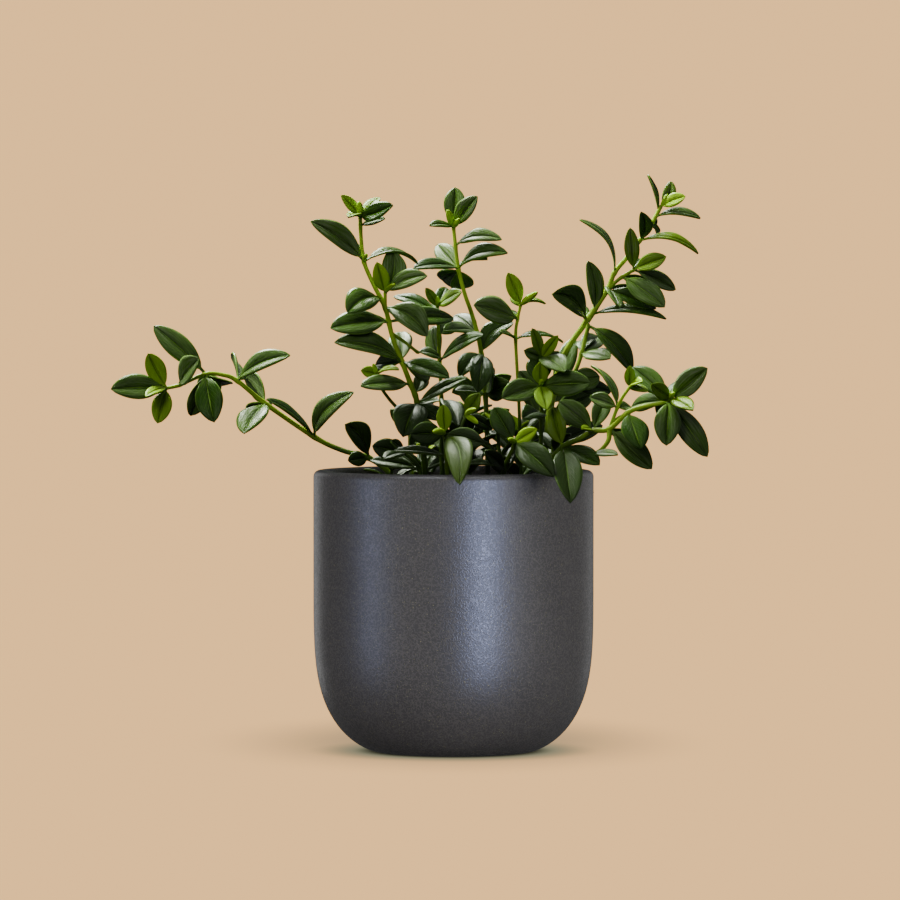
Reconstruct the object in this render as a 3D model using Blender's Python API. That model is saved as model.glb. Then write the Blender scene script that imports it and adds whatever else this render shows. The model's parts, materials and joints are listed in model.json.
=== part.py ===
"""A goldfish plant in a turned, round-bottomed pot.

The frame has +Z up, its origin at the middle of the pot's underside, and -Y towards the front.
Each leafy stem is one body: its shoots, its leaves and its buds are joined. Lengths are given in
millimetres and made metres where a mesh is built.
"""
import math
from collections import namedtuple

import bmesh
import bpy
from mathutils import Matrix, Vector

MM = 0.001

# Pot
POT_RADIUS = 70.1
POT_HEIGHT = 140.5
FOOT_RADIUS = 39.0
BELLY_HEIGHT = 85.0
BELLY_STEPS = 8
BELLY_CLOSENESS = 2.4
WALL = 6.5
FLOOR = 8.0
LIP_RADIUS = 3.2
LIP_STEPS = 4
INNER_FOOT = 12.0
INNER_RISE = 4.0
INNER_STEPS = 3
POT_SIDES = 32
SHARP_ANGLE = math.radians(40.0)
GLAZE_COLOUR = (0.062, 0.062, 0.072)
GLAZE_ROUGHNESS = 0.45

# Soil
SOIL_TOP = 125.0
ROOT_DEPTH = 16.0
FIT_GAP = 0.3
SOIL_GAP = 0.6
SOIL_SIDES = 24
HOLE_SIDES = 5
EARTH_COLOUR = (0.03, 0.022, 0.015)
EARTH_ROUGHNESS = 0.95

# Stems
STEM_SIDES = 5
STEM_END = 1.6

# Leaves
RIB_THICKNESS = 1.2
STALK_HALF_WIDTH = 0.6
STALK_SHARE = 0.1
OVAL_SKEW = 1.0
OVAL_FULLNESS = 0.66
SIDE_DROOP = 0.12
BUD_WIDTH = 4.0
TINY_WIDTH = 11.0
LARGE_WIDTH = 14.0
LARGE_STATIONS = (0.12, 0.32, 0.56, 0.8)
SMALL_STATIONS = (0.14, 0.42, 0.74)
TINY_STATIONS = (0.25, 0.65)
FOLIAGE_COLOUR = (0.03, 0.075, 0.012)
FOLIAGE_ROUGHNESS = 0.35

# Growth in depth, seen from a place in front of the pot
SIGHT_DISTANCE = 3000.0
SIGHT_HEIGHT = 245.0
DEPTH_SPREAD = 1.7

# Growth that follows a rule
PAIR_SPREAD = math.radians(32.0)
CROWN_SPREAD = math.radians(62.0)
CROWN_SHARE = 0.45
LEAF_SLIMNESS = 0.47
TAPER = 0.35
PAIR_ARCH = 0.1
SHOOT_RADII = (1.3, 0.9)
TURN_AXIS = Vector((0.0, 1.0, 0.2))
BACK_REACH = 0.6
BACK_DEPTH = 14.0
BACK_WIDTH = 0.85
BACK_TURN = 0.5
BACK_ARCH = 0.12

Leaf = namedtuple("Leaf", "at tip width face arch curl")
Shoot = namedtuple("Shoot", "route radii leaves")


def leaf(at, x, y, z, width, turn=0, lean=30, arch=0.05, curl=0.0):
    """A leaf that grows at a point of its shoot's route and ends at the tip x, y, z.

    Its face looks forwards, turned to the right by turn and up by lean, in degrees. Its
    midrib bows towards its face by arch and to its right by curl, as shares of its length.
    """
    t = math.radians(turn)
    e = math.radians(lean)
    face = (math.sin(t) * math.cos(e), -math.cos(t) * math.cos(e), math.sin(e))
    return Leaf(at, (x, y, z), width, face, arch, curl)


def set_back(shoots, lean, swing=0.0):
    """Give a stem its depth, and keep its outline as seen from the front.

    Each point moves back by a share of its height and of its distance from the root, along
    its line of sight, and the leaves reach further forwards and backwards.
    """
    root = shoots[0].route[0]

    def moved(x, y, z):
        back = lean * (z - root[2]) + swing * abs(x - root[0])
        scale = (SIGHT_DISTANCE + y + back) / (SIGHT_DISTANCE + y)
        return (x * scale, y + back, SIGHT_HEIGHT + (z - SIGHT_HEIGHT) * scale)

    result = []
    for shoot in shoots:
        leaves = []
        for item in shoot.leaves:
            x, y, z = item.tip
            near = place_on(shoot.route, item.at).y
            leaves.append(item._replace(tip=moved(x, near + (y - near) * DEPTH_SPREAD, z)))
        result.append(Shoot([moved(*point) for point in shoot.route], shoot.radii, leaves))
    return result


def with_back_leaves(route, leaves, numbers):
    """These leaves, and behind some of them another that grows backwards, hidden from the front."""
    back = []
    for k in numbers:
        item = leaves[k]
        root = place_on(route, item.at)
        out = (Vector(item.tip) - root) * BACK_REACH
        tip = (root.x + out.x, root.y + BACK_DEPTH - 2 * (k % 3), root.z + out.z)
        face = (item.face[0] * BACK_TURN, BACK_TURN, 1.0)
        back.append(Leaf(item.at, tip, item.width * BACK_WIDTH, face, BACK_ARCH, 0.0))
    return leaves + back


def paired_leaves(route, length, first, turn):
    """Opposite pairs from a first point to the end, each a quarter turn on from the last.

    A smaller and steeper pair ends the shoot.
    """
    leaves = []
    last = len(route) - 1
    places = [(at, 1 - TAPER * at / last, PAIR_SPREAD) for at in range(first, last + 1)]
    places.append((last, CROWN_SHARE, CROWN_SPREAD))
    for k, (at, share, spread) in enumerate(places):
        here = Vector(route[at])
        along = (here - Vector(route[at - 1])).normalized()
        side = along.cross(TURN_AXIS).normalized()
        other = along.cross(side)
        for half in (0, 1):
            angle = math.radians(turn) + math.pi * (k / 2 + half)
            out = side * math.cos(angle) + other * math.sin(angle)
            tip = here + (out * math.cos(spread) + along * math.sin(spread)) * length * share
            face = along * math.cos(spread) - out * math.sin(spread)
            width = LEAF_SLIMNESS * length * share
            leaves.append(Leaf(at, tuple(tip), width, tuple(face), PAIR_ARCH, 0.0))
    return leaves


def left_trailing():
    route = [
        (-24, 14, 125), (-32, 19, 138), (-43, 22, 146), (-56, 26, 149.5), (-70, 29, 156),
        (-95, 30, 173), (-109, 28, 184.5), (-116, 26.5, 187.5), (-125, 25, 188),
        (-138, 22, 182.5), (-144.5, 20, 181),
    ]
    leaves = [
        leaf(2, -54.5, 16, 163, 13.5, 30, 20, 0.05, 0.12),
        leaf(2, -53, 20, 144.5, 8, 0, 15),
        leaf(4, -50, 20, 179, 12, -20, 30, 0.24),
        leaf(4, -94, 21, 175.5, 11, 30, 62),
        leaf(5, -105, 15, 158.5, 15.5, -20, 35),
        leaf(5, -107, 44, 188, 13, 150, 20),
        leaf(6, -82, 20, 197.5, 12.5, 0, 45, 0.13),
        leaf(6, -113, 44, 196, 13, 170, 30),
        leaf(8, -120, 16, 164, 14, -10, 10),
        leaf(8, -133, 30, 167, 12, 30, 10),
        leaf(8, -113, 38, 183, 10, -20, -20),
        leaf(8, -151.5, 30, 212, 13, 15, 25),
        leaf(9, -127, 12, 196, 14, -25, 25),
        leaf(10, -172, 16, 180.5, 14, 0, 25),
        leaf(10, -153.5, 17, 198.5, 10, 15, 5, -0.05),
        leaf(10, -154, 8, 177, 6, 0, 40),
        leaf(10, -148.5, 14, 163.5, 10, 5, 15),
    ]
    return [Shoot(route, (1.5, 0.9), with_back_leaves(route, leaves, (4, 8, 13)))]


def left_tall():
    route = [
        (-13, -12, 125), (-15, -13, 150), (-18, -14, 174), (-21.3, -14, 183.5), (-25.5, -13, 194.5),
        (-30.5, -12, 207.5), (-34, -11, 221.5), (-39.7, -10, 233), (-44.6, -9, 244.5),
        (-46, -8, 255.5), (-46.5, -8, 267),
    ]
    leaves = [
        leaf(2, -25, -28, 158, 17, 0, 35, 0.12),
        leaf(2, -7, -22, 166, 9, 10, 25),
        leaf(2, 7, -18, 187, 9, 0, 50),
        leaf(3, -46, -24, 183, 11, 0, 40),
        leaf(4, -59, -20, 204.5, 14, 0, 43, 0.14),
        leaf(4, -2, -24, 187, 11, 10, 35),
        leaf(4, -12, -4, 187, 11, 0, 20),
        leaf(4, -39, -2, 192.5, 10, 0, 20),
        leaf(5.5, -61, -18, 211.5, 15, 0, 35, 0.06),
        leaf(5.5, 0, 4, 216, 12, 0, 35),
        leaf(6.4, -52.5, -20, 219, 15.5, -10, 30, 0.12, 0.08),
        leaf(6, -13, -20, 207.5, 14, 10, 20, 0.09, -0.1),
        leaf(8, -71, -14, 264.5, 12, 20, 25, 0.06, 0.045),
        leaf(8, -18, 2, 243.5, 9, 0, 72, 0.18),
        leaf(8, -43, -12, 248.5, 2.4),
        leaf(10, -56, -10, 277.5, 6, 10, 30),
        leaf(10, -30, -14, 272.5, 10, 0, 30, 0.06, 0.1),
        leaf(9.6, -34, -12, 266, 5, 0, 40),
        leaf(10, -37, 2, 276.5, 6, 0, 50),
        leaf(10, -52, -20, 266.5, 6, 0, 78),
        leaf(10, -47, -10, 274.5, 4, 0, 0),
        leaf(10, -52, 2, 269.5, 5, 0, 30),
        leaf(4, -27, 2, 209, 12, 0, 10),
        leaf(2.4, -15, -4, 188, 8, 10, 10),
    ]
    fork = [(-34, -11, 221.5), (-34, -12, 229)]
    fork_leaves = [
        leaf(1, -38, -17, 244.5, 8, 0, 0),
        leaf(1, -31, -6, 250.5, 12.5, 0, 5, 0.06, 0.12),
        leaf(1, -13, -16, 237.5, 10.5, 0, 35, 0.06, -0.07),
        leaf(1, -29, -19, 233.5, 2.5),
    ]
    hanging = [(-31, -12, 209), (-25, -8, 205), (-18, -6, 199.5)]
    hanging_leaves = [
        leaf(2, -7, -4, 196.5, 8, 0, 55, 0.1),
    ]
    low = [(-16.7, -13.5, 164), (-28, -16, 172), (-36, -16, 182), (-38, -16, 188.5)]
    low_leaves = [
        leaf(3, -46, -18, 190.5, 6, 0, 20),
        leaf(3, -40, -18, 194, 2.5),
        leaf(3, -27, -20, 191, 5, 0, 60, 0.12),
    ]
    return [
        Shoot(route, (1.5, 0.9), with_back_leaves(route, leaves, (4, 8, 11, 12))),
        Shoot(fork, (0.9, 0.8), fork_leaves),
        Shoot(hanging, (1.0, 0.8), hanging_leaves),
        Shoot(low, (1.0, 0.7), low_leaves),
    ]


def middle_left():
    route = [
        (-5, 8, 125), (-6, 7, 150), (-6, 6, 175), (-7, 5, 194.5), (-7.5, 4, 208), (-8, 3, 222),
    ]
    leaves = [
        leaf(2, 2, -14, 163, 11, 20, 30, 0.1),
        leaf(2, -20, 20, 170, 11, 0, 40),
        leaf(3, 15, -10, 208, 12, 0, 42, 0.06, -0.02),
        leaf(3, -10, 12, 212, 10, -30, 5),
        leaf(4, -1, 14, 213, 9, 20, 30),
        leaf(4.7, -30, 10, 227, 10, 0, 62, 0.1),
        leaf(5, -14, 0, 231.5, 5, 10, 10),
        leaf(5, -8, 1, 227.5, 2.5),
        leaf(5, 4, -4, 229.5, 9, 0, 38),
        leaf(5, -4, 11, 231.5, 7, 0, 10),
    ]
    return [Shoot(route, (1.2, 0.8), with_back_leaves(route, leaves, (5,)))]


def centre():
    route = [
        (17, 10, 125), (17, 10, 150), (16, 9, 178), (14, 8, 198), (12, 7, 208.5), (9, 6, 219),
        (5.5, 5, 229), (2.5, 4, 241), (1, 3, 252.5), (0, 3, 262),
    ]
    leaves = [
        leaf(2, 19, -2, 191.5, 9, 80, 0),
        leaf(2, 29, 2, 183.5, 12, 0, 10),
        leaf(2, 1, 2, 180, 8, 0, 60),
        leaf(3, 30, 10, 214, 11.5, -20, 38, 0.05, -0.18),
        leaf(3, 3, -4, 187, 10.5, -10, 30, 0.12),
        leaf(3, 12, -8, 179.5, 12, 10, 30, 0.12),
        leaf(4, -5, -9, 210, 11, 0, 45),
        leaf(4, 1, 18, 217.5, 10, 0, 40),
        leaf(7, 27, -4, 248.8, 10.5, 0, 45, 0.15, -0.05),
        leaf(7, -20, -8, 241, 10, 0, 50, 0.08),
        leaf(7, -8, 14, 253, 10, 0, 10),
        leaf(7, 5, 15, 231.5, 12, 0, -10),
        leaf(7, -5.5, 16, 235.5, 11, 0, -10),
        leaf(8, 24, -2, 255.5, 10, 0, 50, 0.17),
        leaf(9, 1, 6, 281.5, 11, 0, 0),
        leaf(9, 12, -3, 277, 10, -25, 15),
        leaf(9, -12, -3, 262.5, 6, 0, 50),
        leaf(9, -3, -3, 270.5, 4, 0, 0),
        leaf(9, 3, -3, 266, 3, 0, 0),
    ]
    return [Shoot(route, (1.3, 0.9), with_back_leaves(route, leaves, (3, 8, 9)))]


def thin_upright():
    route = [
        (34, -2, 125), (33.5, -2, 150), (32.5, -2, 178), (31, -3, 206), (32, -3, 216),
        (33.5, -3, 223),
    ]
    leaves = [
        leaf(3, 55, 6, 204, 8, 0, 70, 0.13),
        leaf(3, 23, -10, 209.5, 6, 0, 50),
        leaf(4, 10, -12, 223, 15, -5, 25),
        leaf(5, 27, -5, 239, 8.5, 20, 0),
        leaf(5, 42, -5, 229.5, 3.5, 0, 30),
        leaf(5, 46, -1, 223.5, 6, 0, 78, 0.15),
        leaf(5, 29, 4, 226, 4),
    ]
    return [Shoot(route, (0.9, 0.75), with_back_leaves(route, leaves, (2,)))]


def two_rosettes():
    route = [(43, -12, 125), (43.5, -11, 150), (44, -9, 175), (44, -8, 196.5)]
    leaves = [
        leaf(1.7, 34, -26, 167, 11, 0, 30, 0.09),
        leaf(3, 35, -12, 200.5, 7, 0, 10),
        leaf(3, 39, -12, 211.5, 6, 20, 0),
        leaf(3, 52, -12, 208, 6, 0, 10),
        leaf(3, 55, -22, 190, 13, 0, 50, 0.09),
        leaf(2, 33, -6, 190, 10, 0, 15),
    ]
    fork = [(44, -9.3, 172), (43.5, -16, 180), (43.3, -20, 183)]
    fork_leaves = [
        leaf(2, 43, -22, 195, 8, 0, 5),
        leaf(2, 24, -28, 177, 13, 0, 25),
        leaf(2, 68, -26, 184.5, 13.5, 0, 15),
        leaf(2, 46, -30, 171.5, 9.5, 0, 25),
        leaf(2, 42, -14, 197.5, 13, 0, 5),
        leaf(2, 44, -24, 186, 2.5),
    ]
    return [
        Shoot(route, (1.2, 0.9), with_back_leaves(route, leaves, (4,))),
        Shoot(fork, (1.0, 0.9), with_back_leaves(fork, fork_leaves, (2,))),
    ]


def right_tall():
    route = [
        (44, 12, 125), (46, 13, 150), (50, 12, 178), (55.5, 10, 198), (66.5, 8, 214.5),
        (77, 6, 230.5), (80.5, 5, 239), (87, 4, 247), (93, 3, 255), (99.5, 2, 264.5),
        (103.5, 1, 272),
    ]
    leaves = [
        leaf(4, 49, -2, 228.5, 14, -10, 25, 0.05, 0.14),
        leaf(4.3, 67, 4, 245, 10, 30, 15, 0.06, 0.08),
        leaf(4.2, 106, -2, 216, 8, 0, 58, 0.09, -0.05),
        leaf(5, 82, -10, 222, 11, 30, 10, 0.06, 0.05),
        leaf(5, 101, 0, 221, 10, 0, 40),
        leaf(6, 63, 2, 265.5, 10, 68, 42, 0.19),
        leaf(8, 93.5, 0, 269.5, 7.5, 20, 10, 0.06, 0.15),
        leaf(8, 122, -2, 248.5, 9.5, 0, 70, 0.16),
        leaf(9, 102, 10, 259, 5),
        leaf(9.3, 123, -4, 266, 7.5, 0, 62, 0.13),
        leaf(9.7, 97, 2, 288, 6, 75, 10),
        leaf(10, 109, 4, 284.5, 6.5, 0, 0, 0.06, 0.08),
        leaf(10, 115.5, -4, 277, 7.5, 0, 35),
        leaf(10, 107, 0, 278.5, 2),
        leaf(2, 61, 22, 206, 10, 0, 10),
        leaf(1.6, 70, 18, 178, 11, 0, 10),
        leaf(1.1, 75, 20, 162, 10, 0, 10),
    ]
    upper = [(77, 6, 230.5), (83, 3, 236), (90, 1, 240.5)]
    upper_leaves = [
        leaf(1.2, 105, -8, 222, 13, 20, 20),
        leaf(2, 111, 4, 230.5, 9, 0, 30),
        leaf(2, 106, -4, 247, 9, 0, 25),
        leaf(2, 88, -4, 261.5, 7.5, 0, 5),
    ]
    lower = [(50, 12, 178), (57, 5, 183), (61, 3, 190), (64, 3, 198.5), (67.5, 3, 212.5)]
    lower_leaves = [
        leaf(1, 73, 6, 187, 12, 0, 15),
        leaf(1, 79, 10, 179.5, 9, 0, 20),
        leaf(3, 78, -9, 196.5, 11, 20, 30),
        leaf(3, 73, 16, 206.5, 11, 0, 20),
        leaf(4, 89, 0, 189.5, 14, 40, 25, 0.18, 0.06),
    ]
    return [
        Shoot(route, (1.7, 0.9), with_back_leaves(route, leaves, (0, 4, 8))),
        Shoot(upper, (1.0, 0.9), with_back_leaves(upper, upper_leaves, (0, 2))),
        Shoot(lower, (1.2, 1.0), with_back_leaves(lower, lower_leaves, (3,))),
    ]


def right_trailing():
    route = [
        (40, -26, 125), (45, -30, 142), (54, -34, 153), (62, -35, 157), (69, -35, 161),
        (77, -35, 162), (86, -34, 170), (94, -32, 173), (104, -30, 175), (107.5, -29, 176.5),
    ]
    leaves = [
        leaf(2, 57, -58, 127, 14.5, 5, 20),
        leaf(2, 72, -40, 144.5, 11, 0, 42),
        leaf(2, 49, -30, 172.5, 11, -20, 10),
        leaf(4, 76, -24, 178, 9, 0, 10),
        leaf(4, 52, -36, 175.5, 12, 10, 15),
        leaf(4, 63, -41, 162.5, 4.5, 0, 45),
        leaf(5, 98, -32, 142, 13, 20, 20, 0.05, 0.03),
        leaf(6, 92, -42, 152.5, 13.5, 10, 20),
        leaf(6, 78, -26, 161, 6, 0, 60),
        leaf(8.6, 104.8, -38, 154, 13, 0, 15),
        leaf(8.4, 125.8, -26, 147.8, 12.5, 10, 20),
        leaf(8.5, 89, -24, 192, 12, 10, 20),
        leaf(8.3, 89, -18, 172.5, 10, 0, 20),
        leaf(9, 125.5, -32, 192, 12, 0, 20),
        leaf(9, 97, -38, 184, 8, -10, 20),
        leaf(9, 117.8, -40, 171.5, 9, 0, 40),
        leaf(9, 109, -32, 180, 3),
    ]
    riser = [(77, -35, 162), (81, -33, 172.5), (83.5, -33, 177.5), (87, -33, 182.5)]
    riser_leaves = [
        leaf(1, 67, -38, 177.5, 9, 0, 40),
        leaf(1, 68, -28, 193, 9, 62, 30, 0.12),
        leaf(1, 88, -26, 172, 6),
        leaf(3, 87, -36, 193.5, 5.5, 0, 0),
        leaf(3, 93, -40, 185.5, 6, 0, 30),
        leaf(3, 96, -36, 181, 4, 0, 70),
    ]
    loop = [(77, -35, 162), (76.5, -37, 156.5), (73, -38, 152), (68.5, -38, 149.5)]
    return [
        Shoot(route, (1.6, 1.1), with_back_leaves(route, leaves, (6, 9, 13))),
        Shoot(riser, (0.9, 0.8), riser_leaves),
        Shoot(loop, (1.4, 0.8), [leaf(3, 81, -42, 149.5, 6, 0, 50)]),
    ]


def front_rosette():
    route = [(-3, -34, 125), (-3, -40, 142), (-4, -47, 154), (-4.3, -50, 160)]
    leaves = [
        leaf(1.5, -29, -46, 151.5, 7, 0, 60),
        leaf(2.6, 3, -76, 136.5, 13.5, -10, 25, 0.1, -0.1),
        leaf(2.6, 2, -54, 149, 7, 0, 30),
        leaf(3, -5, -50, 174.3, 7.5, 0, 5),
        leaf(3, 15, -56, 155.5, 10.5, 0, 15),
        leaf(3, -21, -52, 160, 11.5, 0, 15),
        leaf(3, -10, -60, 161.5, 3.5, 0, 40),
    ]
    fork = [(-3, -40, 142), (2, -36, 158), (6, -32, 168.5)]
    fork_leaves = [
        leaf(2, 13, -34, 179.5, 8, -10, 10),
        leaf(2, 11, -40, 172, 3),
        leaf(2, 12, -39, 165, 3),
        leaf(2, 19, -30, 161.5, 9, 0, 50),
    ]
    return [Shoot(route, (1.2, 0.9), leaves), Shoot(fork, (0.9, 0.8), fork_leaves)]


def front_right():
    route = [(24, -34, 125), (25, -38, 142), (29, -44, 152), (30, -46, 155.5)]
    leaves = [
        leaf(1, 7, -54, 145.5, 6, 0, 50),
        leaf(1, 15, -50, 152, 8, 0, 15),
        leaf(3, 41, -50, 162.3, 7, 0, 20),
        leaf(3, 49, -60, 139.5, 14, 0, 25, 0.08),
        leaf(3, 27, -51, 157.5, 3),
        leaf(3, 20, -40, 172.5, 11.5, 0, 5),
    ]
    return [Shoot(route, (1.2, 0.9), leaves)]


def left_low():
    route = [(-16, -30, 125), (-17, -32, 142), (-24, -33, 150)]
    leaves = [
        leaf(1, -41, -26, 146, 8, 0, 40),
        leaf(2, -40, -34, 153.5, 10.5, -20, 10),
        leaf(2, -34, -44, 147.5, 8, 0, 60),
        leaf(2, -31, -36, 156, 7, 0, 50),
    ]
    return [Shoot(route, (1.1, 0.9), leaves)]


def paired_shoot(route, length, first, turn):
    return [Shoot(route, SHOOT_RADII, paired_leaves(route, length, first, turn))]


def plant():
    """Every leafy stem by name, each as a list of its shoots, the first one from the soil."""
    return {
        "stem_left_trailing": set_back(left_trailing(), 0.0, -0.15),
        "stem_left_tall": set_back(left_tall(), -0.12),
        "stem_middle_left": set_back(middle_left(), 0.12),
        "stem_centre": set_back(centre(), 0.18),
        "stem_thin_upright": set_back(thin_upright(), -0.12),
        "stem_two_rosettes": set_back(two_rosettes(), -0.1),
        "stem_right_tall": set_back(right_tall(), 0.08, 0.3),
        "stem_right_trailing": set_back(right_trailing(), 0.0, -0.35),
        "stem_front_rosette": set_back(front_rosette(), 0.0),
        "stem_front_right": set_back(front_right(), 0.0),
        "stem_left_low": set_back(left_low(), 0.0),
        "stem_low_left": paired_shoot(
            [(-31, -12, 125), (-31, -13, 133), (-31, -15, 140)], 20, 1, 15),
        "stem_low_middle": paired_shoot(
            [(8, -4, 125), (8, -4, 137), (8, -4, 148), (8, -4, 158)], 27, 1, 80),
        "stem_low_right": paired_shoot(
            [(50, -2, 125), (50, -2, 138), (50, -2, 149), (50, -2, 160)], 24, 1, 30),
        "stem_low_front": paired_shoot(
            [(24, -14, 125), (24, -15, 137), (23, -16, 147), (22, -17, 159)], 27, 1, 80),
        "stem_low_centre": paired_shoot(
            [(3, 23, 125), (3, 23, 139), (3, 23, 152), (3, 23, 162)], 30, 1, 0),
        "stem_low_behind": paired_shoot(
            [(-14, 25, 125), (-14, 23, 133), (-14, 19, 139), (-14, 13, 146)], 22, 1, 80),
        "stem_low_back": paired_shoot(
            [(33, 23, 125), (33, 22, 133), (33, 19, 144), (33, 15, 155)], 30, 1, 50),
        "stem_rear_left": paired_shoot(
            [(-20, 36, 125), (-21, 40, 137), (-22, 47, 147), (-22, 55, 156), (-21, 63, 163)],
            23, 1, 45),
        "stem_rear_centre": paired_shoot(
            [(6, 40, 125), (7, 44, 140), (9, 51, 154), (11, 61, 166), (13, 72, 175)], 31, 1, 50),
        "stem_rear_right": paired_shoot(
            [(31, 38, 125), (34, 42, 139), (39, 49, 152), (44, 59, 163), (48, 70, 171)], 30, 1, 10),
        "stem_rear_trailing": paired_shoot(
            [(-4, 56, 125), (-5, 60, 138), (-6, 70, 147), (-8, 84, 146), (-9, 95, 135),
             (-10, 101, 120), (-10, 104, 105)], 33, 3, 40),
        "stem_rear_side": paired_shoot(
            [(22, 52, 125), (25, 57, 140), (31, 68, 150), (39, 82, 151), (47, 94, 143),
             (54, 102, 131)], 30, 3, 30),
    }


def place_on(route, at):
    """The point of a route that lies at a whole or part count of its steps."""
    i = min(int(at), len(route) - 2)
    return Vector(route[i]).lerp(Vector(route[i + 1]), at - i)


def stations_of(item):
    if item.width <= TINY_WIDTH:
        return TINY_STATIONS
    return LARGE_STATIONS if item.width >= LARGE_WIDTH else SMALL_STATIONS


def half_width(item, v):
    """A leaf is a stalk and then a pointed oval; v runs from 0 at its root to 1 at its tip."""
    share = max(0.0, (v - STALK_SHARE) / (1 - STALK_SHARE))
    oval = math.sin(math.pi * share ** OVAL_SKEW) ** OVAL_FULLNESS
    return max(STALK_HALF_WIDTH, item.width / 2 * oval)


def blade(root, item):
    """A leaf's points and triangles: a bowed midrib with a drooping half on each side."""
    tip = Vector(item.tip)
    chord = tip - root
    along = chord.normalized()
    normal = Vector(item.face)
    normal = (normal - along * normal.dot(along)).normalized()
    side = along.cross(normal)
    bud = item.width <= BUD_WIDTH
    points = []
    for v in (0.0, *stations_of(item)):
        bow = chord.length * 4 * v * (1 - v)
        middle = root + chord * v + (normal * item.arch + side * item.curl) * bow
        half = half_width(item, v)
        rise = half if bud else RIB_THICKNESS / 2
        droop = normal * (0.0 if bud else SIDE_DROOP * half)
        points += [middle + side * half - droop, middle + normal * rise,
                   middle - side * half - droop, middle - normal * rise]
    rings = len(points) // 4
    points.append(tip)
    faces = [(0, 1, 3), (1, 2, 3)]
    for ring in range(rings - 1):
        low = ring * 4
        high = low + 4
        for edge, rib in ((0, 1), (2, 1), (2, 3), (0, 3)):
            faces += [(low + edge, low + rib, high + rib), (low + edge, high + rib, high + edge)]
    end = (rings - 1) * 4
    faces += [(end + k, end + (k + 1) % 4, rings * 4) for k in range(4)]
    return points, faces


def tube(route, radii, sides=STEM_SIDES):
    """A round stem along a route, flat at its start and pointed at its end."""
    line = [Vector(p) for p in route]
    last = len(line) - 1
    points = []
    across = None
    for i, here in enumerate(line):
        before = line[max(i - 1, 0)]
        after = line[min(i + 1, last)]
        along = (after - before).normalized()
        if across is None:
            along = (line[1] - line[0]).normalized()
            across = along.orthogonal()
        across = (across - along * across.dot(along)).normalized()
        other = along.cross(across)
        radius = radii[0] + (radii[1] - radii[0]) * i / last
        for k in range(sides):
            angle = 2 * math.pi * k / sides
            points.append(here + (across * math.cos(angle) + other * math.sin(angle)) * radius)
    points.append(line[-1] + (line[-1] - line[-2]).normalized() * STEM_END)
    faces = [tuple(range(sides))]
    for ring in range(last):
        low = ring * sides
        high = low + sides
        for k in range(sides):
            beside = (k + 1) % sides
            faces.append((low + k, low + beside, high + beside, high + k))
    end = last * sides
    faces += [(end + k, end + (k + 1) % sides, len(points) - 1) for k in range(sides)]
    return points, faces


def stem_shapes(shoots):
    """The tube of each shoot and the blade of each leaf on it, the stem from the soil first."""
    shapes = []
    for number, shoot in enumerate(shoots):
        route = list(shoot.route)
        if number == 0:
            x, y, z = route[0]
            route.insert(0, (x, y, z - ROOT_DEPTH))
        shapes.append(tube(route, shoot.radii))
        for item in shoot.leaves:
            shapes.append(blade(place_on(shoot.route, item.at), item))
    return shapes


def mesh_object(name, points, faces, collection):
    bm = bmesh.new()
    corners = [bm.verts.new(p * MM) for p in points]
    for face in faces:
        bm.faces.new([corners[k] for k in face])
    bmesh.ops.recalc_face_normals(bm, faces=bm.faces)
    mesh = bpy.data.meshes.new(name)
    bm.to_mesh(mesh)
    bm.free()
    thing = bpy.data.objects.new(name, mesh)
    collection.objects.link(thing)
    return thing


def combine(body, parts, operation):
    """Join a collection's bodies to this one, or cut them from it, and remove them."""
    modifier = body.modifiers.new("Combine", "BOOLEAN")
    modifier.operation = operation
    modifier.operand_type = "COLLECTION"
    modifier.collection = parts
    modifier.solver = "EXACT"
    graph = bpy.context.evaluated_depsgraph_get()
    mesh = bpy.data.meshes.new_from_object(body.evaluated_get(graph))
    body.modifiers.clear()
    body.data = mesh
    for part in list(parts.objects):
        bpy.data.objects.remove(part, do_unlink=True)
    bpy.data.collections.remove(parts)


def new_parts():
    parts = bpy.data.collections.new("parts")
    bpy.context.scene.collection.children.link(parts)
    return parts


def material(name, colour, roughness):
    made = bpy.data.materials.new(name)
    made.use_nodes = True
    shader = made.node_tree.nodes["Principled BSDF"]
    shader.inputs["Base Color"].default_value = (*colour, 1.0)
    shader.inputs["Roughness"].default_value = roughness
    shader.inputs["Metallic"].default_value = 0.0
    return made


def belly(height):
    """The pot's outer radius: a foot that swells to the straight upper wall."""
    swell = (1 - (1 - min(height / BELLY_HEIGHT, 1.0)) ** 4) ** (2 / 3)
    return FOOT_RADIUS + (POT_RADIUS - FOOT_RADIUS) * swell


def belly_heights():
    """Heights that lie close together where the belly turns most."""
    return [BELLY_HEIGHT * (k / BELLY_STEPS) ** BELLY_CLOSENESS for k in range(BELLY_STEPS + 1)]


def inner_wall(height):
    return belly(height - INNER_RISE) - WALL


def inner_heights(top):
    """Heights up the inner wall, from above the rounded floor to the top."""
    rise = top - INNER_FOOT
    return [INNER_FOOT + rise * (k / INNER_STEPS) ** 2 for k in range(INNER_STEPS + 1)]


def pot_profile():
    outer = [(0.0, 0.0)] + [(belly(z), z) for z in belly_heights()]
    top = POT_HEIGHT - LIP_RADIUS
    lip = []
    for k in range(LIP_STEPS + 1):
        angle = math.pi * k / LIP_STEPS
        x = POT_RADIUS - LIP_RADIUS + LIP_RADIUS * math.cos(angle)
        lip.append((x, top + LIP_RADIUS * math.sin(angle)))
    inner = [(inner_wall(z), z) for z in reversed(inner_heights(BELLY_HEIGHT))]
    return outer + lip + inner + [(inner[-1][0] - FLOOR, FLOOR), (0.0, FLOOR)]


def soil_profile():
    side = [(inner_wall(z) - SOIL_GAP, z) for z in inner_heights(BELLY_HEIGHT)]
    low = [(0.0, FLOOR + FIT_GAP), (side[0][0] - FLOOR, FLOOR + FIT_GAP)]
    return low + side + [(side[-1][0], SOIL_TOP), (0.0, SOIL_TOP)]


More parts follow.
